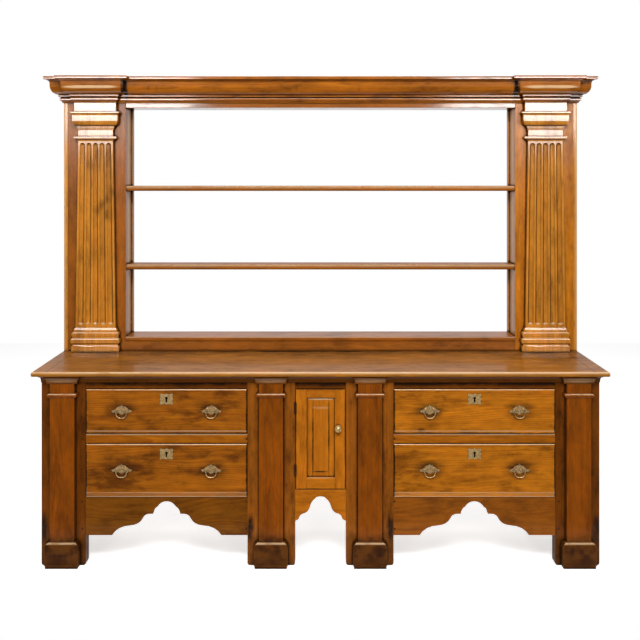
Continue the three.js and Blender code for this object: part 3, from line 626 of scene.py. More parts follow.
class Tone(Enum):
    """The lots of boards in the dresser."""

    HONEY = PineTone((0.56, 0.175, 0.006), (0.36, 0.092, 0.003), (0.17, 0.04, 0.002))
    AMBER = PineTone((0.56, 0.185, 0.006), (0.3, 0.078, 0.002), (0.13, 0.032, 0.001))
    CHESTNUT = PineTone((0.41, 0.125, 0.004), (0.22, 0.053, 0.002), (0.085, 0.021, 0.001))
    UMBER = PineTone((0.26, 0.065, 0.002), (0.16, 0.035, 0.001), (0.06, 0.014, 0.001))
    FUSTIC = PineTone((0.21, 0.068, 0.003), (0.125, 0.034, 0.001), (0.05, 0.014, 0.001))
    SMOKE = PineTone((0.17, 0.045, 0.002), (0.095, 0.023, 0.001), (0.03, 0.008, 0.001))
    SOOT = PineTone((0.075, 0.022, 0.002), (0.04, 0.011, 0.001), (0.014, 0.004, 0.001))
    NUT = PineTone((0.31, 0.092, 0.006), (0.19, 0.05, 0.003), (0.085, 0.022, 0.002))
    STRAW = PineTone((0.62, 0.245, 0.024), (0.36, 0.115, 0.008), (0.1, 0.026, 0.002))
    TOP = PineTone((0.4, 0.145, 0.01), (0.24, 0.08, 0.007), (0.11, 0.034, 0.003))
    BARE = PineTone((0.46, 0.3, 0.15), (0.34, 0.2, 0.09), (0.2, 0.11, 0.05))


@dataclass(frozen=True)
class DirtAndShadingMark:
    """A dark or a pale patch on a board, for dirt, knots, painted shade and painted highlights: its middle,
    its reach along each axis and its strength.
    """

    centre: Point
    reach: Point
    strength: float = 0.8


@dataclass(frozen=True)
class PineFinish:
    """A waxed pine finish.

    Attributes:
        tone: The lot the board comes from.
        grain: Which way its grain runs.
        ring_width: The spacing of its growth rings.
        ring_depth: How much darker its summer wood is.
        stain: How patchy its stain is.
        knots: How many of its cells hold a knot.
        dirt: How much old polish and painted shade sit in its corners and seams.
        wear: How far its edges are rubbed.
        foot_dark: How much it darkens at the floor.
        lying: Whether its wide face looks up.
        wax: The weight of the wax coat.
        wax_ior: How strongly the wax shines.
        wax_rough: How dull the wax is.
        gleam: How strong the painted highlight on its rounded upper edges is.
        dark_side: The way along X that the painted-shade walls of its flutes face, or 0 for none.
        dirt_and_shade: Dark patches: real dirt and knots, and painted shade and painted shadows.
        painted_highlights: Pale patches: painted highlights and painted reflections.
    """

    tone: Tone
    grain: Grain = Grain.ALONG_X
    ring_width: float = 0.0055
    ring_depth: float = 0.45
    stain: float = 0.6
    knots: float = 0.3
    dirt: float = 0.85
    wear: float = 0.45
    foot_dark: float = 0.0
    lying: bool = False
    wax: float = 0.9
    wax_ior: float = 1.5
    wax_rough: float = 0.13
    gleam: float = 0.5
    dark_side: float = 0.0
    dirt_and_shade: tuple[DirtAndShadingMark, ...] = ()
    painted_highlights: tuple[DirtAndShadingMark, ...] = ()

    @staticmethod
    def patch_mask(sheet: Sheet, place: Socket, patches: tuple[DirtAndShadingMark, ...]) -> Socket | None:
        """Mark some patches.

        Args:
            sheet: The material's sheet.
            place: The object coordinates.
            patches: The dark or the pale patches.

        Returns:
            The mask's socket, or None for a board without such patches.
        """
        mask = None
        for painted_mark in patches:
            shrink = tuple(1.0 / reach for reach in painted_mark.reach)
            back = tuple(-at * scale for at, scale in zip(painted_mark.centre, shrink))
            away = sheet.vector("MULTIPLY_ADD", place, shrink, back)
            far = sheet.add("ShaderNodeVectorMath", {0: away}, operation="LENGTH").outputs["Value"]
            spot = sheet.span(far, 1.15, 0.3, 0.0, painted_mark.strength)
            mask = spot if mask is None else sheet.most(mask, spot)
        return mask

    def material(self, name: str, centre: Vector) -> bpy.types.Material:
        """Make the finish for one board.

        Args:
            name: The piece's name, which also settles where its pith lies.
            centre: The middle of the board.

        Returns:
            The material.
        """
        chance = random.Random(name)
        turn = Vector(self.grain.value)
        tilt = Vector((chance.uniform(-0.02, 0.02), chance.uniform(-0.02, 0.02), chance.uniform(-0.1, 0.1)))
        rotation = Euler(turn + tilt)
        offset = Vector((chance.uniform(-0.07, 0.07), chance.uniform(0.045, 0.1), chance.uniform(2.0, 40.0)))
        if self.lying:
            offset.x, offset.y = offset.y, offset.x
        offset -= rotation.to_matrix() @ centre

        material, sheet = new_material(f"pine_{name}")
        place = sheet.add("ShaderNodeTexCoord").outputs["Object"]
        grain = sheet.add("ShaderNodeMapping", {"Vector": place, "Rotation": rotation, "Location": offset})
        tone = self.tone.value
        values = {
            "Grain": grain.outputs[0],
            "Place": place,
            "Early": (*tone.early, 1.0),
            "Late": (*tone.late, 1.0),
            "Stain": (*tone.stain, 1.0),
            "Ring Width": self.ring_width * chance.uniform(0.85, 1.2),
            "Stain Amount": self.stain,
            "DirtAndShadingMark": self.patch_mask(sheet, place, self.dirt_and_shade),
            "Pale": self.patch_mask(sheet, place, self.painted_highlights),
        }
        for label in ("Ring Depth", "Knots", "Dirt", "Wear", "Foot Dark", "Gleam", "Dark Side", "Wax"):
            values[label] = getattr(self, label.lower().replace(" ", "_"))
        board = sheet.add("ShaderNodeGroup", values, node_tree=PINE_BOARD)
        coat = {
            "Specular IOR Level": 0.06,
            "Coat Weight": board.outputs["Wax"],
            "Coat Roughness": self.wax_rough,
            "Coat IOR": self.wax_ior,
        }
        sheet.shade(board, PINE_RELIEF, coat)
        return material


@dataclass(frozen=True)
class MetalFinish:
    """A handled metal finish: brass or iron."""

    name: str
    bright: Colour
    tarnish: Colour
    amount: float
    scale: float
    metallic: float

    def material(self) -> bpy.types.Material:
        """Make the finish, once for all its pieces.

        Returns:
            The material.
        """
        made = bpy.data.materials.get(self.name)
        if made:
            return made
        material, sheet = new_material(self.name)
        values = {
            "Place": sheet.add("ShaderNodeTexCoord").outputs["Object"],
            "Bright": (*self.bright, 1.0),
            "Tarnish": (*self.tarnish, 1.0),
            "Tarnish Amount": self.amount,
            "Scale": self.scale,
        }
        metal = sheet.add("ShaderNodeGroup", values, node_tree=OLD_METAL)
        sheet.shade(metal, METAL_RELIEF, {"Metallic": self.metallic})
        return material


OLD_BRASS = MetalFinish("old_brass", (0.86, 0.58, 0.27), (0.22, 0.11, 0.04), 0.75, 130.0, 0.65)
PALE_BRASS = MetalFinish("pale_brass", (0.86, 0.58, 0.24), (0.26, 0.13, 0.04), 0.65, 150.0, 0.6)
DARK_IRON = MetalFinish("dark_iron", (0.06, 0.045, 0.035), (0.025, 0.014, 0.008), 0.8, 160.0, 0.7)


def mount(piece: Piece, material: bpy.types.Material, body: str, slot: str) -> None:
    """Give a finished piece its material and its body, and report it.

    Args:
        piece: The piece, in place.
        material: Its finish.
        body: The body it rides on.
        slot: Not used.
    """
    piece.data.materials.clear()
    piece.data.materials.append(material)
    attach(piece, body)
    LOG.info("%s rides on %s", piece.name, body)


def stand_in(piece: Piece, node: str, material: bpy.types.Material) -> None:
    """Mount a worked copy in the place of its CAD node."""
    mount(piece, material, BODY_OF[node], SLOT_OF[node])
    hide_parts(node)


def finish_board(piece: Piece, node: str, finish: PineFinish) -> None:
    """Wax a worked copy and stand it in for its CAD node."""
    smooth(piece)
    stand_in(piece, node, finish.material(node, middle(node)))


def finish_metal(piece: Piece, node: str, finish: MetalFinish) -> None:
    """Smooth a worked copy and stand it in for its metal CAD node."""
    smooth(piece, METAL_ANGLE)
    stand_in(piece, node, finish.material())


def dress_board(
    node: str, finish: PineFinish, rounding: float, shortest: float = 0.02, steps: int = 2
) -> None:
    """Stand a softened, waxed copy in for one wooden CAD node.

    Args:
        node: The CAD node.
        finish: Its pine finish.
        rounding: How far its edges are rounded.
        shortest: Edges shorter than this stay sharp.
        steps: How many faces the rounding has.
    """
    piece = merged_copy(node)
    soften_edges(piece, rounding, shortest, steps)
    finish_board(piece, node, finish)


# Sub-assemblies


@dataclass
class Base:
    """The low part: top, moulding, rails, posts, pilasters, aprons and panels."""

    rounding: float = 0.002
    top_rounding: float = 0.0015
    rail_rounding: float = 0.003
    post_rounding: float = 0.0035
    pilaster_rounding: float = 0.005
    fine_edge: float = 0.004

    def build(self) -> None:
        """Dress every fixed board of the base."""
        self.dress_top()
        # Painted light on the moulding where it breaks out over the pilasters; the moulding's dark tone is
        # partly painted shade under the top's overhang
        painted_light_on_breaks = tuple(
            DirtAndShadingMark((middle(f"pilaster_{row}_{name}").x, -0.25, 0.842), (0.1, 0.1, 0.014), 0.3)
            for name in SIDES
            for row in ("outer", "inner")
        )
        dress_board("top_moulding", PineFinish(Tone.SMOKE, gleam=0.3, painted_highlights=painted_light_on_breaks), THIN_ROUNDING)
        # Painted shadow under the top's overhang, over the rail's dark tone, which is partly painted shade
        # too
        shade = DirtAndShadingMark((0.0, -0.217, 0.841), (30.0, 0.2, 0.036), 1.6)
        dress_board("top_rail", PineFinish(Tone.SMOKE, wax=0.3, dirt=0.8, dirt_and_shade=(shade,)), self.rounding)
        dress_board("apron_centre", PineFinish(Tone.HONEY, dirt=0.5), self.rounding, self.fine_edge)
        for name in SIDES:
            self.dress_side(name)
        bare = PineFinish(Tone.BARE, Grain.UPRIGHT, wax=0.0, stain=0.4, wear=0.1)
        for node in ("cupboard_box", "back_boards"):
            dress_board(node, bare, THIN_ROUNDING)

    def dress_top(self) -> None:
        """Dress the top: dull, darker at the back, with painted shadow where the rack stands and a painted
        highlight along its front edge.
        """
        # A darker back board, and painted contact shadow along the rack's foot and under its pilasters
        dark = (
            DirtAndShadingMark((0.0, 0.2, 0.88), (2.2, 0.24, 0.5), 0.5),
            DirtAndShadingMark((0.0, 0.137, 0.88), (1.3, 0.034, 0.05), 1.0),
            DirtAndShadingMark((-1.121, 0.103, 0.88), (0.15, 0.03, 0.05), 1.0),
            DirtAndShadingMark((1.121, 0.103, 0.88), (0.15, 0.03, 0.05), 1.0),
        )
        # Painted highlight along the front arris
        arris_highlight = DirtAndShadingMark((0.0, -0.265, 0.879), (4.0, 0.03, 0.008), 0.35)
        finish = PineFinish(
            Tone.TOP, lying=True, ring_width=0.007, ring_depth=0.6, knots=0.25, wear=0.8, dirt=1.0,
            wax=0.22, gleam=0.95, dirt_and_shade=dark, painted_highlights=(arris_highlight,),
        )
        dress_board("top_board", finish, self.top_rounding)

    def dress_side(self, name: str) -> None:
        """Dress the boards of one side, from its apron to its pilasters.

        Args:
            name: The side: left or right.
        """
        apron = PineFinish(Tone.FUSTIC if name == "left" else Tone.NUT, wax=0.5)
        dress_board(f"apron_{name}", apron, self.rounding, self.fine_edge)
        # Painted highlight along the middle rail's top edge
        edge = DirtAndShadingMark((middle(f"drawer_rails_{name}").x, -0.217, 0.5905), (0.9, 0.03, 0.0035), 0.75)
        rails = PineFinish(Tone.CHESTNUT, dirt=0.7, gleam=0.7, painted_highlights=(edge,))
        dress_board(f"drawer_rails_{name}", rails, self.rail_rounding)
        dress_board(f"end_panel_{name}", PineFinish(Tone.UMBER, Grain.UPRIGHT, foot_dark=0.5), self.rounding)
        pilaster = PineFinish(
            Tone.UMBER, Grain.UPRIGHT, knots=0.4, foot_dark=1.0, wear=0.6, wax=0.5, gleam=0.75
        )
        for row, tone in (("outer", Tone.SMOKE), ("inner", Tone.NUT)):
            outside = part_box(f"post_{row}_{name}")[0 if name == "left" else 1].x
            # Painted shade on the post beside each pilaster's foot
            pilaster_foot_shade = DirtAndShadingMark((outside - SIDES[name] * 0.014, -0.2, 0.17), (0.022, 0.1, 0.08), 1.0)
            post = PineFinish(
                tone, Grain.UPRIGHT, stain=0.9, knots=0.35, foot_dark=0.6, dirt=1.0, wax=0.5, dirt_and_shade=(pilaster_foot_shade,)
            )
            dress_board(f"post_{row}_{name}", post, self.post_rounding)
            dress_board(f"pilaster_{row}_{name}", pilaster, self.pilaster_rounding, 0.015, 3)


@dataclass
class Drawer:
    """One drawer: its front, its box, two handles and an escutcheon."""

    tier: str
    side: str
    bead_steps: tuple[float, float] = (0.0005, 0.006)
    bead_depth: float = 0.0045
    bead_proud: float = 0.002
    bead_rounding: float = 0.0019
    plate_points: int = 48
    plate_half: tuple[float, float] = (0.031, 0.0245)
    plate_share: float = 0.95
    plate_thickness: float = 0.0014
    plate_rim: float = 0.0022
    plate_swell: float = 0.0005
    plate_drop: float = 0.0445
    key_bore: tuple[float, float] = (0.006, 0.005)
    key_slot: tuple[float, float, float] = (0.0076, 0.018, 0.0055)
    wing_bends: tuple[float, ...] = (0.011, 0.016, 0.021, 0.026, 0.031, 0.035)
    wing_drop: float = 0.009
    wing_depth: float = 0.0285
    wing_growth: float = 1.4
    post_zone: tuple[float, float, float] = (0.0235, 0.0231, 0.0076)
    bail_wire: float = 0.0023
    bail_squeeze: tuple[float, float, float] = (0.86, 1.0, 0.93)

    @property
    def key(self) -> str:
        """The drawer's part of its nodes' names."""
        return f"{self.tier}_{self.side}"

    @property
    def keyhole(self) -> Vector:
        """The middle of the escutcheon, on the front's face."""
        low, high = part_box(f"drawer_front_{self.key}")
        return Vector(((low.x + high.x) / 2, low.y, high.z - self.plate_drop))

    def build(self) -> None:
        """Dress the drawer's boards and metalwork."""
        self.front()
        inside = PineFinish(Tone.BARE, Grain.ALONG_Y, wax=0.0, wear=0.1)
        dress_board(f"drawer_box_{self.key}", inside, THIN_ROUNDING)
        for number in (1, 2):
            self.handle_plate(f"handle_plate_{self.key}_{number}")
            self.bail(f"bail_{self.key}_{number}")
        self.escutcheon()

    def finish(self) -> PineFinish:
        """Choose the front's finish: soiled round the handles, with painted shadows under the handles,
        painted shade along its edges and painted highlight lines along its bottom bead.

        Returns:
            The finish.
        """
        low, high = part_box(f"drawer_front_{self.key}")
        across, upright = (low.x + high.x) / 2, (low.z + high.z) / 2
        plates = [middle(f"handle_plate_{self.key}_{number}") for number in (1, 2)]
        dark = [DirtAndShadingMark((at.x, at.y, at.z - 0.004), (0.085, 0.1, 0.045)) for at in plates]
        # Painted shadows under the wings of each handle plate
        dark += [
            DirtAndShadingMark((at.x + aside, at.y + 0.005, at.z - 0.014), (0.014, 0.02, 0.006), 1.0)
            for at in plates
            for aside in (-0.036, 0.036)
        ]
        # Painted shade along both side edges, in the gaps beside the posts
        dark += [DirtAndShadingMark((x, low.y, upright), (0.0065, 0.05, 0.3), 1.0) for x in (low.x, high.x)]
        # Painted shade along the upper drawer's bottom edge, and painted highlight lines along each drawer's
        # bottom bead
        if self.tier == "upper":
            dark.append(DirtAndShadingMark((across, low.y, low.z + 0.003), (0.9, 0.02, 0.0045), 1.0))
            lines = ((0.0135, 0.003, 0.6),)
        else:
            lines = ((0.012, 0.013, 0.12), (0.0215, 0.003, 0.5), (0.0045, 0.0035, 0.5))
        painted_highlights = [DirtAndShadingMark((across, low.y, low.z + up), (0.9, 0.02, reach), much) for up, reach, much in lines]
        return PineFinish(
            Tone.CHESTNUT if self.side == "left" else Tone.AMBER, ring_width=0.008, ring_depth=0.5,
            stain=0.85, wear=0.7, dirt=1.0, wax_ior=1.6, gleam=0.95, dirt_and_shade=tuple(dark), painted_highlights=tuple(painted_highlights),
        )

    def front(self) -> None:
        """Work the drawer front: a raised bead runs round a flat field with a keyhole in it."""
        node = f"drawer_front_{self.key}"
        piece = merged_copy(node)
        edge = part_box(node)[0].y + self.bead_depth
        facing = [face for face in piece.data.polygons if face.normal.y < -0.99]
        field = max(facing, key=lambda face: face.area).index
        grab(piece, "faces", lambda face: face.index == field)
        for thickness in self.bead_steps:
            bpy.ops.mesh.inset(thickness=thickness, depth=0)
        shape = bmesh.from_edit_mesh(piece.data)
        inner = {corner for face in shape.faces if face.select for corner in face.verts}
        rim = [corner for corner in shape.verts if corner.co.y < edge and corner not in inner]
        choose(piece, "verts", rim)
        bpy.ops.transform.translate(value=(0, -self.bead_proud, 0))
        leave_edit()
        soften_edges(piece, self.bead_rounding, steps=3)
        self.cut_keyhole(piece, 0.012)
        finish_board(piece, node, self.finish())

    def handle_plate(self, node: str) -> None:
        """Bend a plate's wings down and make their tips deeper, and leave its posts where they are.

        Args:
            node: The plate's CAD node.
        """
        piece = merged_copy(node)
        low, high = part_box(node)
        centre = (low + high) / 2
        far, drop, near = self.post_zone

        def on_post(at: Vector) -> bool:
            """Say whether a place is on or close to one of the two posts."""
            return abs(at.x - centre.x) < far and abs(high.z - at.z - drop) < near

        def in_wing(corner: bmesh.types.BMVert, reach: float) -> bool:
            """Say whether a vertex lies beyond a reach and off the posts."""
            return abs(corner.co.x - centre.x) > reach and not on_post(corner.co)

        for reach in self.wing_bends:
            grab(piece, "verts", lambda corner, reach=reach: in_wing(corner, reach))
            bpy.ops.transform.translate(value=(0, 0, -self.wing_drop / len(self.wing_bends)))
            leave_edit()
        grab(piece, "verts", lambda corner: abs(corner.co.x - centre.x) > self.wing_bends[-1])
        tip = Vector((centre.x, centre.y, high.z - self.wing_depth))
        bpy.ops.transform.resize(value=(1, 1, self.wing_growth), center_override=tip)
        leave_edit()
        soften_edges(piece, 0.0005, 0.002)
        finish_metal(piece, node, OLD_BRASS)

    def bail(self, node: str) -> None:
        """Draw a bail's loop in below its pivot.

        Args:
            node: The bail's CAD node.
        """
        piece = merged_copy(node)
        low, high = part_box(node)
        pivot = Vector(((low.x + high.x) / 2, (low.y + high.y) / 2, high.z - self.bail_wire))
        grab(piece, "verts", lambda corner: corner.co.z < pivot.z - self.bail_wire - 0.001)
        bpy.ops.transform.resize(value=self.bail_squeeze, center_override=pivot)
        leave_edit()
        finish_metal(piece, node, OLD_BRASS)

    def escutcheon(self) -> None:
        """Model the scalloped brass plate round the keyhole."""
        clear_selection()
        bpy.ops.mesh.primitive_circle_add(
            vertices=self.plate_points, radius=1.0, fill_type="NGON", location=self.keyhole, rotation=TO_FRONT
        )
        plate = bpy.context.active_object
        plate.name = f"escutcheon_{self.key}"
        # Eight lobes run round a square with well rounded corners
        for index, vertex in enumerate(plate.data.vertices):
            angle = 2 * pi * index / self.plate_points
            lobes = 1.0 + 0.075 * cos(8 * angle) - 0.03 * cos(4 * angle)
            square = (abs(cos(angle)) ** 6 + abs(sin(angle)) ** 6) ** (-1 / 6)
            vertex.co.x = cos(angle) * lobes * square * self.plate_half[0] * self.plate_share
            vertex.co.y = sin(angle) * lobes * square * self.plate_half[1] * self.plate_share
        settle(plate)
        edit_all()
        out = {"value": (0, -self.plate_thickness, 0)}
        bpy.ops.mesh.extrude_region_move(TRANSFORM_OT_translate=out)
        bpy.ops.mesh.inset(thickness=self.plate_rim, depth=0)
        bpy.ops.transform.translate(value=(0, -self.plate_swell, 0))
        bpy.ops.mesh.select_all(action="SELECT")
        bpy.ops.mesh.normals_make_consistent(inside=False)
        leave_edit()
        self.cut_keyhole(plate, 0.01)
        smooth(plate, 30.0)
        mount(plate, PALE_BRASS.material(), f"drawer_{self.key}", "brass")

    def cut_keyhole(self, piece: Piece, depth: float) -> None:
        """Cut the keyhole into a piece.

        Args:
            piece: The escutcheon's plate or the drawer front.
            depth: How far the cut reaches behind the front's face.
        """
        radius, rise = self.key_bore
        bore = self.keyhole + Vector((0, 0, rise))
        clear_selection()
        bpy.ops.mesh.primitive_cylinder_add(
            vertices=20, radius=radius, depth=2 * depth, location=bore, rotation=TO_FRONT
        )
        cut_away(piece, bpy.context.active_object)
        width, height, drop = self.key_slot
        slot = self.keyhole - Vector((0, 0, drop))
        clear_selection()
        bpy.ops.mesh.primitive_cube_add(size=1.0, location=slot, scale=(width, 2 * depth, height))
        cut_away(piece, bpy.context.active_object)


@dataclass
class Cupboard:
    """The small door between the inner posts, with its knob and hinges."""

    rounding: float = 0.0012
    shortest: float = 0.01
    stiles: tuple[float, float] = (-0.0625, 0.0655)
    joint_width: float = 0.0012
    edge_dark: float = 0.0048
    field: tuple[float, float, float, float] = (-0.0345, 0.0375, 0.4205, 0.7125)
    opening_top: float = 0.7565

    def build(self) -> None:
        """Dress the door's boards and metalwork."""
        self.frame()
        self.panel()
        finish_metal(merged_copy("door_knob"), "door_knob", PALE_BRASS)
        for node in ("hinge_upper", "hinge_lower"):
            finish_metal(merged_copy(node), node, DARK_IRON)

    def frame_lines(self) -> tuple[DirtAndShadingMark, ...]:
        """Darken the frame's joints, paint shade along its outer edges and darken the board under the knob.

        Returns:
            The dark lines.
        """
        low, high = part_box("door_frame")
        across, upright = (low.x + high.x) / 2, (low.z + high.z) / 2
        knob = middle("door_knob")
        joint = (self.joint_width, 0.03, 0.05)
        joints = [DirtAndShadingMark((x, low.y, z), joint, 0.9) for x in self.stiles for z in (low.z, high.z)]
        # Painted shade along the frame's outer sides and ends, in the gaps round the door
        sides = [DirtAndShadingMark((x, low.y, upright), (self.edge_dark, 0.05, 0.6), 1.0) for x in (low.x, high.x)]
        ends = [DirtAndShadingMark((across, low.y, z), (0.3, 0.05, self.edge_dark), 1.0) for z in (low.z, high.z)]
        under = DirtAndShadingMark((knob.x - 0.004, low.y, knob.z - 0.008), (0.02, 0.05, 0.016), 0.6)
        return (*joints, *sides, *ends, under)

    def frame(self) -> None:
        """Part the door's frame into stiles and rails, each with its own grain."""
        node = "door_frame"
        piece = merged_copy(node)
        soften_edges(piece, self.rounding, self.shortest)
        bpy.ops.object.mode_set(mode="EDIT")
        for x in self.stiles:
            bpy.ops.mesh.select_all(action="SELECT")
            bpy.ops.mesh.bisect(plane_co=(x, 0, 0), plane_no=(1, 0, 0))
        leave_edit()
        lines = self.frame_lines()
        stiles = PineFinish(Tone.HONEY, Grain.UPRIGHT, knots=0.1, dirt=0.95, dirt_and_shade=lines)
        finish_board(piece, node, stiles)
        left, right = self.stiles
        for face in piece.data.polygons:
            if left < face.center.x < right:
                face.material_index = 1
        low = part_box(node)[0]
        # Painted highlight along the bottom rail's upper edge
        sill_highlight = DirtAndShadingMark((0.0, low.y, low.z + 0.052), (0.08, 0.02, 0.004), 0.7)
        rails = PineFinish(Tone.HONEY, knots=0.1, dirt=0.95, dirt_and_shade=lines, painted_highlights=(sill_highlight,))
        piece.data.materials.append(rails.material("door_rails", middle(node)))

    def panel(self) -> None:
        """Dress the fielded panel, with painted shade along the left, right and bottom of its field and
        painted highlights along its top.
        """
        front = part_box("door_panel")[0].y
        left, right, bottom, top = self.field
        across, upright = (left + right) / 2, (bottom + top) / 2
        # Painted shade beside the field's step, on its left, right and bottom
        lines = (
            *(DirtAndShadingMark((x, front, upright), (self.edge_dark, 0.05, 0.25), 0.8) for x in (left, right)),
            DirtAndShadingMark((across, front, bottom), (0.05, 0.05, self.edge_dark), 0.9),
        )
        # Painted highlights under the opening's top and along the field's top
        shines = (
            DirtAndShadingMark((across, front, self.opening_top - 0.007), (0.09, 0.03, 0.006), 1.0),
            DirtAndShadingMark((across, front, top - 0.004), (0.045, 0.03, 0.005), 0.25),
        )
        finish = PineFinish(Tone.HONEY, Grain.UPRIGHT, knots=0.1, stain=0.35, dirt_and_shade=lines, painted_highlights=shines)
        dress_board("door_panel", finish, self.rounding, self.shortest)


@dataclass
class Rack:
    """The open plate rack: sides, stiles, fluted pilasters, shelves, frieze and cornice."""

    rounding: float = 0.002
    fine_rounding: float = 0.0012
    cornice_rounding: float = 0.0015
    knot_spots: tuple[tuple[float, float], ...] = (
        (-1.04, 1.68), (-1.062, 1.645), (-1.091, 1.616), (-1.116, 1.592), (-1.062, 1.566),
    )

    def build(self) -> None:
        """Dress every board of the rack."""
        self.dress_cornice()
        dress_board("rack_top", PineFinish(Tone.NUT, wax=1.0, wax_ior=1.7), self.rounding)
        rail = PineFinish(Tone.NUT, knots=0.35, wax=0.6, wax_rough=0.3)
        dress_board("rack_bottom_rail", rail, THIN_ROUNDING)
        for tier in TIERS:
            low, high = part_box(f"shelf_{tier}")
            # Painted highlight along each shelf's front edge
            edge = DirtAndShadingMark((0.0, low.y, high.z - 0.006), (3.0, 0.01, 0.011), 0.3)
            shelf = PineFinish(Tone.NUT, lying=True, wax=0.15, dirt=1.0, painted_highlights=(edge,))
            dress_board(f"shelf_{tier}", shelf, THIN_ROUNDING)
        for name, side in SIDES.items():
            self.dress_side(name, side)

    def dress_cornice(self) -> None:
        """Dress the cornice, with painted shadow at the inner ends of its breaks and painted highlight bands
        over the pilasters.
        """
        knots = [DirtAndShadingMark((x, 0.04, 2.19), (0.012, 0.06, 0.03), 1.0) for x in (-0.85, -0.81, -0.12, 0.19)]
        # Painted shadow down the inner end of each break
        corner_shadows = [DirtAndShadingMark((x, 0.08, 2.19), (0.016, 0.09, 0.085), 1.5) for x in (-0.968, 0.968)]
        # Painted highlight bands on the cyma over the pilasters
        shines = [
            DirtAndShadingMark((x, 0.05, 2.197), (0.085, 0.06, 0.0085), 1.6)
            for x in (-1.19, -1.13, -1.07, 1.07, 1.13, 1.19)
        ]
        finish = PineFinish(
            Tone.CHESTNUT, ring_width=0.007, stain=0.8, knots=0.5, wax=1.0, wax_ior=1.75, dirt=1.0,
            gleam=0.3, dirt_and_shade=(*knots, *corner_shadows), painted_highlights=tuple(shines),
        )
        dress_board("rack_cornice", finish, self.cornice_rounding)

    def dress_side(self, name: str, side: int) -> None:
        """Dress the side board, the stile and the pilaster of one side.

        Args:
            name: The side: left or right.
            side: Its sign along X.
        """
        # Painted highlight along the side's front edge
        edge = DirtAndShadingMark((side * 1.284, 0.139, 1.5), (0.012, 0.03, 1.6), 0.45)
        dress_board(f"rack_side_{name}", PineFinish(Tone.STRAW, Grain.UPRIGHT, painted_highlights=(edge,)), self.rounding)
        tone = Tone.NUT if name == "left" else Tone.AMBER
        # Painted reflection on the stile's inner return
        reveal_sheen = DirtAndShadingMark((side * 0.976, 0.22, 1.52), (0.014, 0.068, 1.6), 0.65)
        stile = PineFinish(tone, Grain.UPRIGHT, dirt=1.0, wax=0.5, wax_rough=0.22, painted_highlights=(reveal_sheen,))
        dress_board(f"rack_stile_{name}", stile, self.fine_rounding)
        knots = tuple(DirtAndShadingMark((x, 0.1, z), (0.027, 0.06, 0.034), 0.42) for x, z in self.knot_spots)
        # The shaft's dark_side paints shade on the outward walls of its flutes and under their tops
        shaft = PineFinish(
            Tone.STRAW, Grain.UPRIGHT, dirt=1.0, wax=1.0, wax_ior=1.75, gleam=0.7, dark_side=float(side),
            dirt_and_shade=knots,
        )
        dress_board(f"rack_pilaster_{name}", shaft, self.fine_rounding, 0.03)


@dataclass
class Pegs:
    """The small pegs that pin the rails to the posts."""

    radius: float = 0.005
    proud: float = 0.0008
    depth: float = 0.003
    inset: float = 0.004
    heights: tuple[float, float, float] = (0.571, 0.288, 0.165)

    def places(self) -> list[Vector]:
        """List where the pegs stand: at the ends of the middle rails and aprons.

        Returns:
            The middle of each peg's hole on the posts' faces.
        """
        spots = []
        for name in SIDES:
            low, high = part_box(f"apron_{name}")
            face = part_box(f"post_outer_{name}")[0].y
            for x in (low.x + self.inset, high.x - self.inset):
                spots += [Vector((x, face, height)) for height in self.heights]
        return spots

    def build(self) -> None:
        """Model one peg and copy it to every place."""
        clear_selection()
        bpy.ops.mesh.primitive_cylinder_add(
            vertices=14, radius=self.radius, depth=self.depth + self.proud, rotation=TO_FRONT
        )
        pattern = bpy.context.active_object
        settle(pattern)
        apply_modifier(pattern, "BEVEL", width=0.0006, segments=2, limit_method="ANGLE")
        smooth(pattern, METAL_ANGLE)
        wood = PineFinish(Tone.SOOT, Grain.ALONG_Y, wax=0.0, dirt=0.3).material("pegs", Vector())
        for number, place in enumerate(self.places(), 1):
            peg = bpy.data.objects.new(f"peg_{number}", pattern.data.copy())
            bpy.context.scene.collection.objects.link(peg)
            peg.location = place + Vector((0, (self.depth - self.proud) / 2, 0))
            settle(peg)
            mount(peg, wood, "case", "dark_pine")
        bpy.data.objects.remove(pattern)


# The studio


@dataclass(frozen=True)
class Lamp:
    """One soft lamp: its tilt in degrees from facing down, its width and height, and its watts."""

    name: str
    place: Point
    tilt: float
    size: tuple[float, float]
    power: float

    def hang(self) -> None:
        """Hang the lamp, out of the camera's sight."""
        data = bpy.data.lights.new(self.name, "AREA")
        data.shape = "RECTANGLE"
        data.size, data.size_y = self.size
        data.energy = self.power
        lamp = bpy.data.objects.new(self.name, data)
        lamp.location = self.place
        lamp.rotation_euler = (radians(self.tilt), 0, 0)
        lamp.visible_camera = False
        bpy.context.scene.collection.objects.link(lamp)


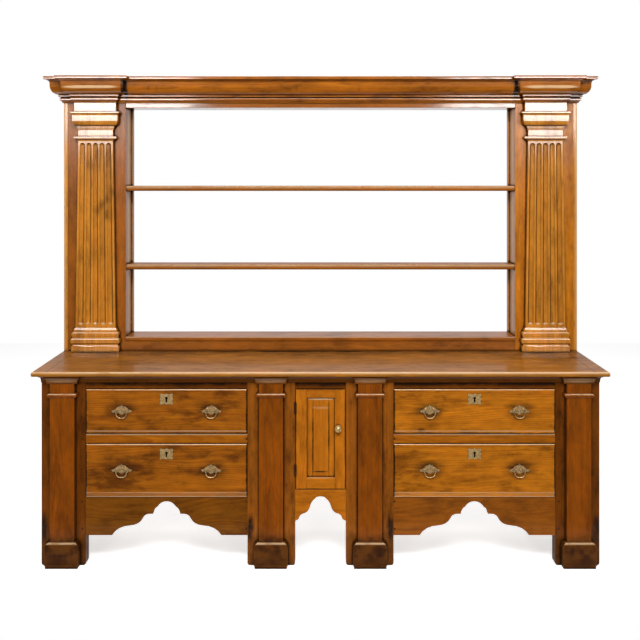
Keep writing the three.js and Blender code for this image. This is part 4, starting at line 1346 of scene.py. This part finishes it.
@dataclass
class Studio:
    """The floor, the backdrop, the lamps and the camera."""

    camera_place: Point = (0.0, -3.465, 1.74)
    lens: float = 40.45
    sensor: float = 36.0
    shift: tuple[float, float] = (-0.0008, -0.21875)
    floor_place: Point = (0.0, 1.8, -0.0005)
    floor_size: Point = (9.0, 4.8, 1.0)
    floor_glow: float = 0.62
    ambient: float = 0.22
    room_gloss: float = 0.03
    lamps: tuple[Lamp, ...] = (
        Lamp("front_box_left", (-2.65, -5.9, 2.67), 90, (1.9, 0.75), 72.0),
        Lamp("front_box_right", (2.65, -5.9, 2.67), 90, (1.9, 0.75), 72.0),
        Lamp("top_box", (0.0, -3.0, 3.75), 42, (2.8, 0.9), 142.0),
        Lamp("back_box", (0.0, 3.0, 4.2), -40, (4.5, 1.5), 60.0),
    )

    def build(self) -> None:
        """Set up the whole studio."""
        bpy.context.scene.view_settings.view_transform = "Standard"
        self.set_camera()
        self.lay_floor()
        self.light_world()
        for lamp in self.lamps:
            lamp.hang()

    def set_camera(self) -> None:
        """Stand the level camera at its place."""
        data = bpy.data.cameras.new("camera")
        data.lens = self.lens
        data.sensor_width = self.sensor
        data.shift_x, data.shift_y = self.shift
        camera = bpy.data.objects.new("camera", data)
        camera.location = self.camera_place
        camera.rotation_euler = TO_FRONT
        bpy.context.scene.collection.objects.link(camera)
        bpy.context.scene.camera = camera

    def lay_floor(self) -> None:
        """Lay a plain pale floor, white to the camera but with the dresser's shadow on it."""
        clear_selection()
        bpy.ops.mesh.primitive_plane_add(size=1.0, location=self.floor_place)
        floor = bpy.context.active_object
        floor.name = "floor"
        floor.scale = self.floor_size
        settle(floor)
        material, sheet = new_material("pale_floor")
        path = sheet.add("ShaderNodeLightPath").outputs
        seen = sheet.most(path["Is Camera Ray"], path["Is Glossy Ray"])
        seen = sheet.most(seen, path["Is Transmission Ray"])
        shaded = sheet.add("ShaderNodeBsdfDiffuse", {"Color": (0.9, 0.9, 0.9, 1.0)})
        strength = sheet.times(seen, self.floor_glow)
        glow = sheet.add("ShaderNodeEmission", {"Color": (1, 1, 1, 1), "Strength": strength})
        both = sheet.add("ShaderNodeAddShader", {0: shaded.outputs[0], 1: glow.outputs[0]})
        sheet.add("ShaderNodeOutputMaterial", {0: both.outputs[0]})
        floor.data.materials.append(material)

    def light_world(self) -> None:
        """Make a white backdrop behind the dresser and a dim room in front of it."""
        world = bpy.data.worlds.new("studio")
        world.use_nodes = True
        bpy.context.scene.world = world
        world.node_tree.nodes.clear()
        sheet = Sheet(world.node_tree)
        path = sheet.add("ShaderNodeLightPath").outputs
        way = sheet.add("ShaderNodeSeparateXYZ", {0: sheet.add("ShaderNodeTexCoord").outputs["Generated"]})
        behind = sheet.span(way.outputs[1], -0.15, 0.2, self.room_gloss, 1.0)
        gloss = sheet.most(path["Is Glossy Ray"], path["Is Transmission Ray"])
        level = self.ambient
        for factor, value in ((gloss, behind), (path["Is Camera Ray"], 1.0)):
            inputs = {0: factor, 2: level, 3: value}
            level = sheet.add("ShaderNodeMix", inputs, data_type="FLOAT").outputs[0]
        glow = sheet.add("ShaderNodeBackground", {"Color": (1, 1, 1, 1), "Strength": level})
        sheet.add("ShaderNodeOutputWorld", {0: glow.outputs[0]})


def main() -> None:
    """Build the studio and dress every part of the dresser in order."""
    logging.basicConfig(level=logging.INFO, format="%(message)s")
    Studio().build()
    Base().build()
    for tier in TIERS:
        for side in SIDES:
            Drawer(tier, side).build()
    Cupboard().build()
    Rack().build()
    Pegs().build()


if __name__ == "__main__":
    main()
